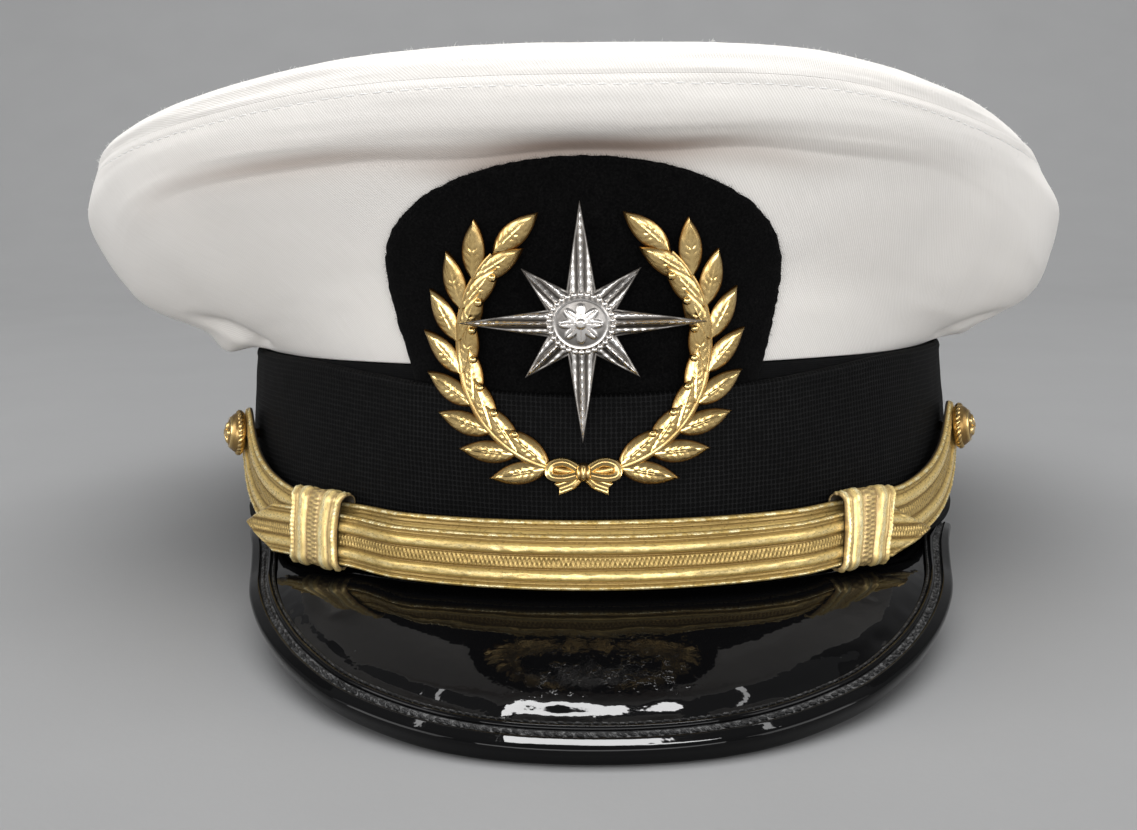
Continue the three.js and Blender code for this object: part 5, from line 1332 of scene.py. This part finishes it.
def wreath_piece():
    W = WREATH
    s = Shape()
    stem = lambda t, side: np.array([side * W["radius"] * math.sin(t), W["lift"] - W["radius"] * math.cos(t)])
    t = np.linspace(0, 1, 15)
    hw = 2 * t * (1 - t) * 0.75 * W["width"]
    ln = 2 * t * (1 - t) * 0.42 * W["length"] + t**2 * W["length"]
    edge = np.concatenate([np.stack([hw, ln], -1)[:-1], np.stack([-hw, ln], -1)[::-1][:-1]])
    centre = np.array([0.0, W["length"] * 0.47])
    rings = np.r_[np.linspace(0.1, 0.9, 9), 0.95, 0.985, 1.0]

    def leaf(origin, heading, rise, order):
        ca, sa = math.cos(heading), math.sin(heading)
        spin = np.array([[ca, -sa], [sa, ca]])
        out = edge @ spin.T + origin
        mid = spin @ centre + origin

        def height(x, y, rho):
            lx, ly = (x - origin[0]) * ca + (y - origin[1]) * sa, -(x - origin[0]) * sa + (y - origin[1]) * ca
            k = clamp01(ly / W["length"])
            half = np.maximum(0.15, np.interp(k, ln / W["length"], hw))
            u = clamp01(np.abs(lx) / half)
            rib = 0.26 * bell(lx, 0, 0.22) * ease((1 - k) / 0.25)
            vein = 0.08 * np.cos(2 * math.pi * (ly - 0.9 * np.abs(lx)) / 1.25) * ease((1 - u) / 0.4) * ease(u / 0.2)
            cup = 0.62 * (1 - u**2.2) - 0.22 * bell(lx, 0, 0.45)
            h = 0.35 + rise + cup * ease((1 - rho) / 0.12 + 0.25) + rib + vein + 0.55 * k * (1 - 0.4 * u)
            # tone: lighter on the midrib, veins and cupped blade, darker at the leaf's rim: painted light and shade
            return h, clamp01(0.40 + 1.0 * rib + 2.0 * vein + 0.55 * cup - 0.35 * bell(rho, 1.0, 0.05))

        relief(s, out, mid, height, rings)

    for side in (-1, 1):
        tt = np.linspace(0.0, W["last"] * DEG, 70)
        path = np.array([stem(a, side) for a in tt])
        tang = unit(np.gradient(path, axis=0))
        nor = np.stack([-tang[:, 1], tang[:, 0]], -1)
        k = np.arange(10) * 2 * math.pi / 10
        rad = 0.85 - 0.35 * np.linspace(0, 1, 70)
        P = np.concatenate([path[:, None] + nor[:, None] * (rad[:, None] * np.cos(k)[None])[..., None], (0.62 + rad[:, None] * 0.7 * np.sin(k)[None])[..., None]], -1)
        s.loft(on_badge(P), np.zeros((70, 11, 2)), tone=0.55)
        spots = np.linspace(W["first"], W["last"], W["leaves"]) * DEG
        for i, a in enumerate(spots):
            ahead = math.atan2(-side * math.cos(a), math.sin(a))
            for swing in [0] if i == W["leaves"] - 1 else [-1, 1]:
                leaf(stem(a, side), ahead + swing * W["spread"] * DEG, 0.10 * (swing > 0) + 0.012 * (W["leaves"] - i), i)
            if 0 < i < W["leaves"] - 1:
                b = a + 7.0 * DEG
                p = stem(b, side)
                inward = unit(np.array([0, W["lift"]]) - p)
                q = p + inward * 2.9
                ball(s, q[0], q[1], 1.15, 0.82)
    # the tie: crossed ends of the stems, a bow and a knot
    foot = np.array([0.0, W["lift"] - W["radius"]])

    def ribbon(points, width, lift, taper=1.0, notch=0.0):
        p = np.array(points, float)
        u = np.linspace(0, 1, 26)
        q = np.stack([np.interp(u, np.linspace(0, 1, len(p)), p[:, k]) for k in (0, 1)], -1)
        for _ in range(6):
            q[1:-1] = (q[:-2] + 2 * q[1:-1] + q[2:]) / 4
        tang = unit(np.gradient(q, axis=0))
        nor = np.stack([-tang[:, 1], tang[:, 0]], -1)
        wd = width * (1 + (taper - 1) * u)
        k = np.r_[np.linspace(-1, 1, 9), np.linspace(0.94, -0.94, 5)]
        hh = np.r_[1.0 - 0.35 * bell(np.linspace(-1, 1, 9), 0, 0.45) - 0.25 * (np.abs(np.linspace(-1, 1, 9)) > 0.9), np.full(5, 0.05)]
        end = notch * (1 - np.abs(k))
        P = q[:, None] + nor[:, None] * (wd[:, None] * k[None])[..., None] - tang[:, None] * (end[None] * ease((u[:, None] - 0.9) / 0.1))[..., None]
        H = lift[0] + (lift[1] - lift[0]) * u[:, None] + 0.9 * hh[None]
        # tone: lighter at the ribbon's raised edges, darker along its dipped middle and on its underside: painted
        # light and shade
        tone = np.broadcast_to(np.r_[0.55 + 0.4 * np.abs(np.linspace(-1, 1, 9)), np.full(5, 0.2)][None], H.shape)
        s.loft(on_badge(np.concatenate([P, H[..., None]], -1)), np.zeros((26, 15, 2)), tone=tone)

    for side in (-1, 1):
        x = lambda a: side * a
        ribbon([foot + [x(0.4), 0.2], foot + [x(3.2), 2.4], foot + [x(6.2), 1.6], foot + [x(6.4), -0.9], foot + [x(3.4), -1.1], foot + [x(0.4), -0.1]], 0.85, (0.75, 0.75))
        ribbon([foot + [x(0.5), -0.4], foot + [x(2.2), -2.2], foot + [x(4.9), -3.2]], 0.9, (0.5, 0.3), taper=1.3, notch=0.9)
    th = 2 * math.pi * np.arange(40) / 40
    knot = np.stack([1.55 * np.cos(th), 1.75 * np.sin(th)], -1) + foot

    def bump(x, y, rho):
        g = 0.12 * np.cos(2 * math.pi * (x - foot[0]) / 1.0)
        # tone follows the knot's ridges: painted light on them, painted shade between
        return 1.1 + 1.25 * np.sqrt(np.maximum(0, 1 - rho**2)) + g, clamp01(0.6 + 2 * g)

    relief(s, knot, foot, bump, np.r_[np.linspace(0.1, 0.9, 10), 0.96, 1.0])
    build(s, "badge_wreath_metal", GOLD, ["badge_wreath"], sharp=55)


band_piece()
braid_piece()
crown_side_piece()
crown_top_piece()
crown_stitches()
crown_fibres()
tab_piece()
visor_piece()
binding_piece()
strap_pieces()
keeper_piece("left", -1, 38.0, 6.9, 0.3)
keeper_piece("right", 1, 34.6, 6.5, 0.9)
button_piece("left", -1)
button_piece("right", 1)
star_piece()
wreath_piece()


# ---------------------------------------------------------------- stage, lights and camera
def stage():
    s = bpy.data.meshes.new("floor")
    prof = [(-1.6, 0.0), (0.55, 0.0)]
    prof += [(0.55 + 0.9 * math.sin(t), 0.9 - 0.9 * math.cos(t)) for t in np.linspace(0.05, math.pi / 2, 24)]
    prof += [(1.45, 2.4)]
    xs = np.linspace(-2.2, 2.2, 12)
    co = [(float(x), float(y), float(z) - 0.0003) for x in xs for y, z in prof]
    m = len(prof)
    faces = [(i * m + j, (i + 1) * m + j, (i + 1) * m + j + 1, i * m + j + 1) for i in range(11) for j in range(m - 1)]
    s.from_pydata(co, [], faces)
    s.polygons.foreach_set("use_smooth", np.ones(len(faces), bool))
    n = Nodes("floor_paper")
    at = n.place()
    n.set(Base_Color=n.mix(n.noise(at, 0.02, 3), (0.264, 0.265, 0.267), (0.286, 0.287, 0.289)), Roughness=0.95, Specular_IOR_Level=0.1)
    n.bump(n.noise(at, 0.9, 3), 0.12, 0.3)
    ob = bpy.data.objects.new("floor", s)
    s.materials.append(n.m)
    bpy.context.scene.collection.objects.link(ob)
    ob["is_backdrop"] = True


def aim(ob, target):
    d = Matrix.Translation(ob.location).to_translation() - target
    ob.rotation_euler = d.to_track_quat("Z", "Y").to_euler()


def softbox(name, at, target, size, power, mirrored=True, lights=True):
    light = bpy.data.lights.new(name, "AREA")
    light.shape, light.size, light.size_y, light.energy = "RECTANGLE", size[0], size[1], power
    ob = bpy.data.objects.new(name, light)
    ob.location = at
    ob.visible_glossy, ob.visible_diffuse = mirrored, lights
    bpy.context.scene.collection.objects.link(ob)
    aim(ob, Vector(target))


stage()

softbox("lamp_middle", (0.036, 0.14, 1.15), (0.0, -0.05, 0.05), (0.56, 0.09), 6.0, lights=False)
softbox("lamp_left", (-0.54, 0.26, 1.15), (0.0, -0.05, 0.05), (0.30, 0.025), 0.25, lights=False)
softbox("lamp_right", (0.48, 0.26, 1.15), (0.0, -0.05, 0.05), (0.30, 0.025), 0.25, lights=False)
softbox("ceiling", (0.0, -0.32, 1.7), (0.0, -0.1, 0.0), (2.4, 1.7), 39.0, mirrored=False)
softbox("front_low", (0.0, -1.5, 0.30), (0, 0, 0.05), (2.0, 0.5), 16.5)
softbox("left", (-1.25, -0.45, 0.6), (0, 0, 0.05), (0.8, 0.8), 1.5)
softbox("right", (1.25, -0.45, 0.6), (0, 0, 0.05), (0.8, 0.8), 1.0)
softbox("sheen_left", (-1.15, -0.6, 0.45), (0, 0, 0.05), (0.8, 0.7), 5.0, lights=False)
softbox("sheen_right", (1.15, -0.6, 0.45), (0, 0, 0.05), (0.8, 0.7), 5.0, lights=False)
softbox("backdrop", (0.0, 0.35, 1.7), (0, 1.3, 0.5), (2.0, 0.5), 7.8, mirrored=False)

world = bpy.data.worlds.new("studio")
world.use_nodes = True
world.node_tree.nodes["Background"].inputs[0].default_value = (0.98, 0.99, 1.0, 1)
world.node_tree.nodes["Background"].inputs[1].default_value = 0.24
scene = bpy.context.scene
scene.world = world
scene.view_settings.view_transform = "Standard"

camera = bpy.data.cameras.new("camera")
camera.sensor_fit, camera.sensor_width, camera.lens = "HORIZONTAL", 36, 36 * 1410 / 1137
camera.clip_start = 0.01
pitch, yaw, roll = 10.92 * DEG, -1.2 * DEG, -0.8 * DEG
fwd = np.array([math.sin(yaw) * math.cos(pitch), math.cos(yaw) * math.cos(pitch), -math.sin(pitch)])
right = unit(np.cross(fwd, [0, 0, 1.0]))
upward = np.cross(right, fwd)
right, upward = math.cos(roll) * right + math.sin(roll) * upward, -math.sin(roll) * right + math.cos(roll) * upward
eye = bpy.data.objects.new("camera", camera)
eye.matrix_world = Matrix([[right[k], upward[k], -fwd[k], (0.00559, -0.35699, 0.09928)[k]] for k in range(3)] + [[0, 0, 0, 1]])
scene.collection.objects.link(eye)
scene.camera = eye

{"cad": CAD_BOX, "visual": [[float(x) for x in corner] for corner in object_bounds()]}
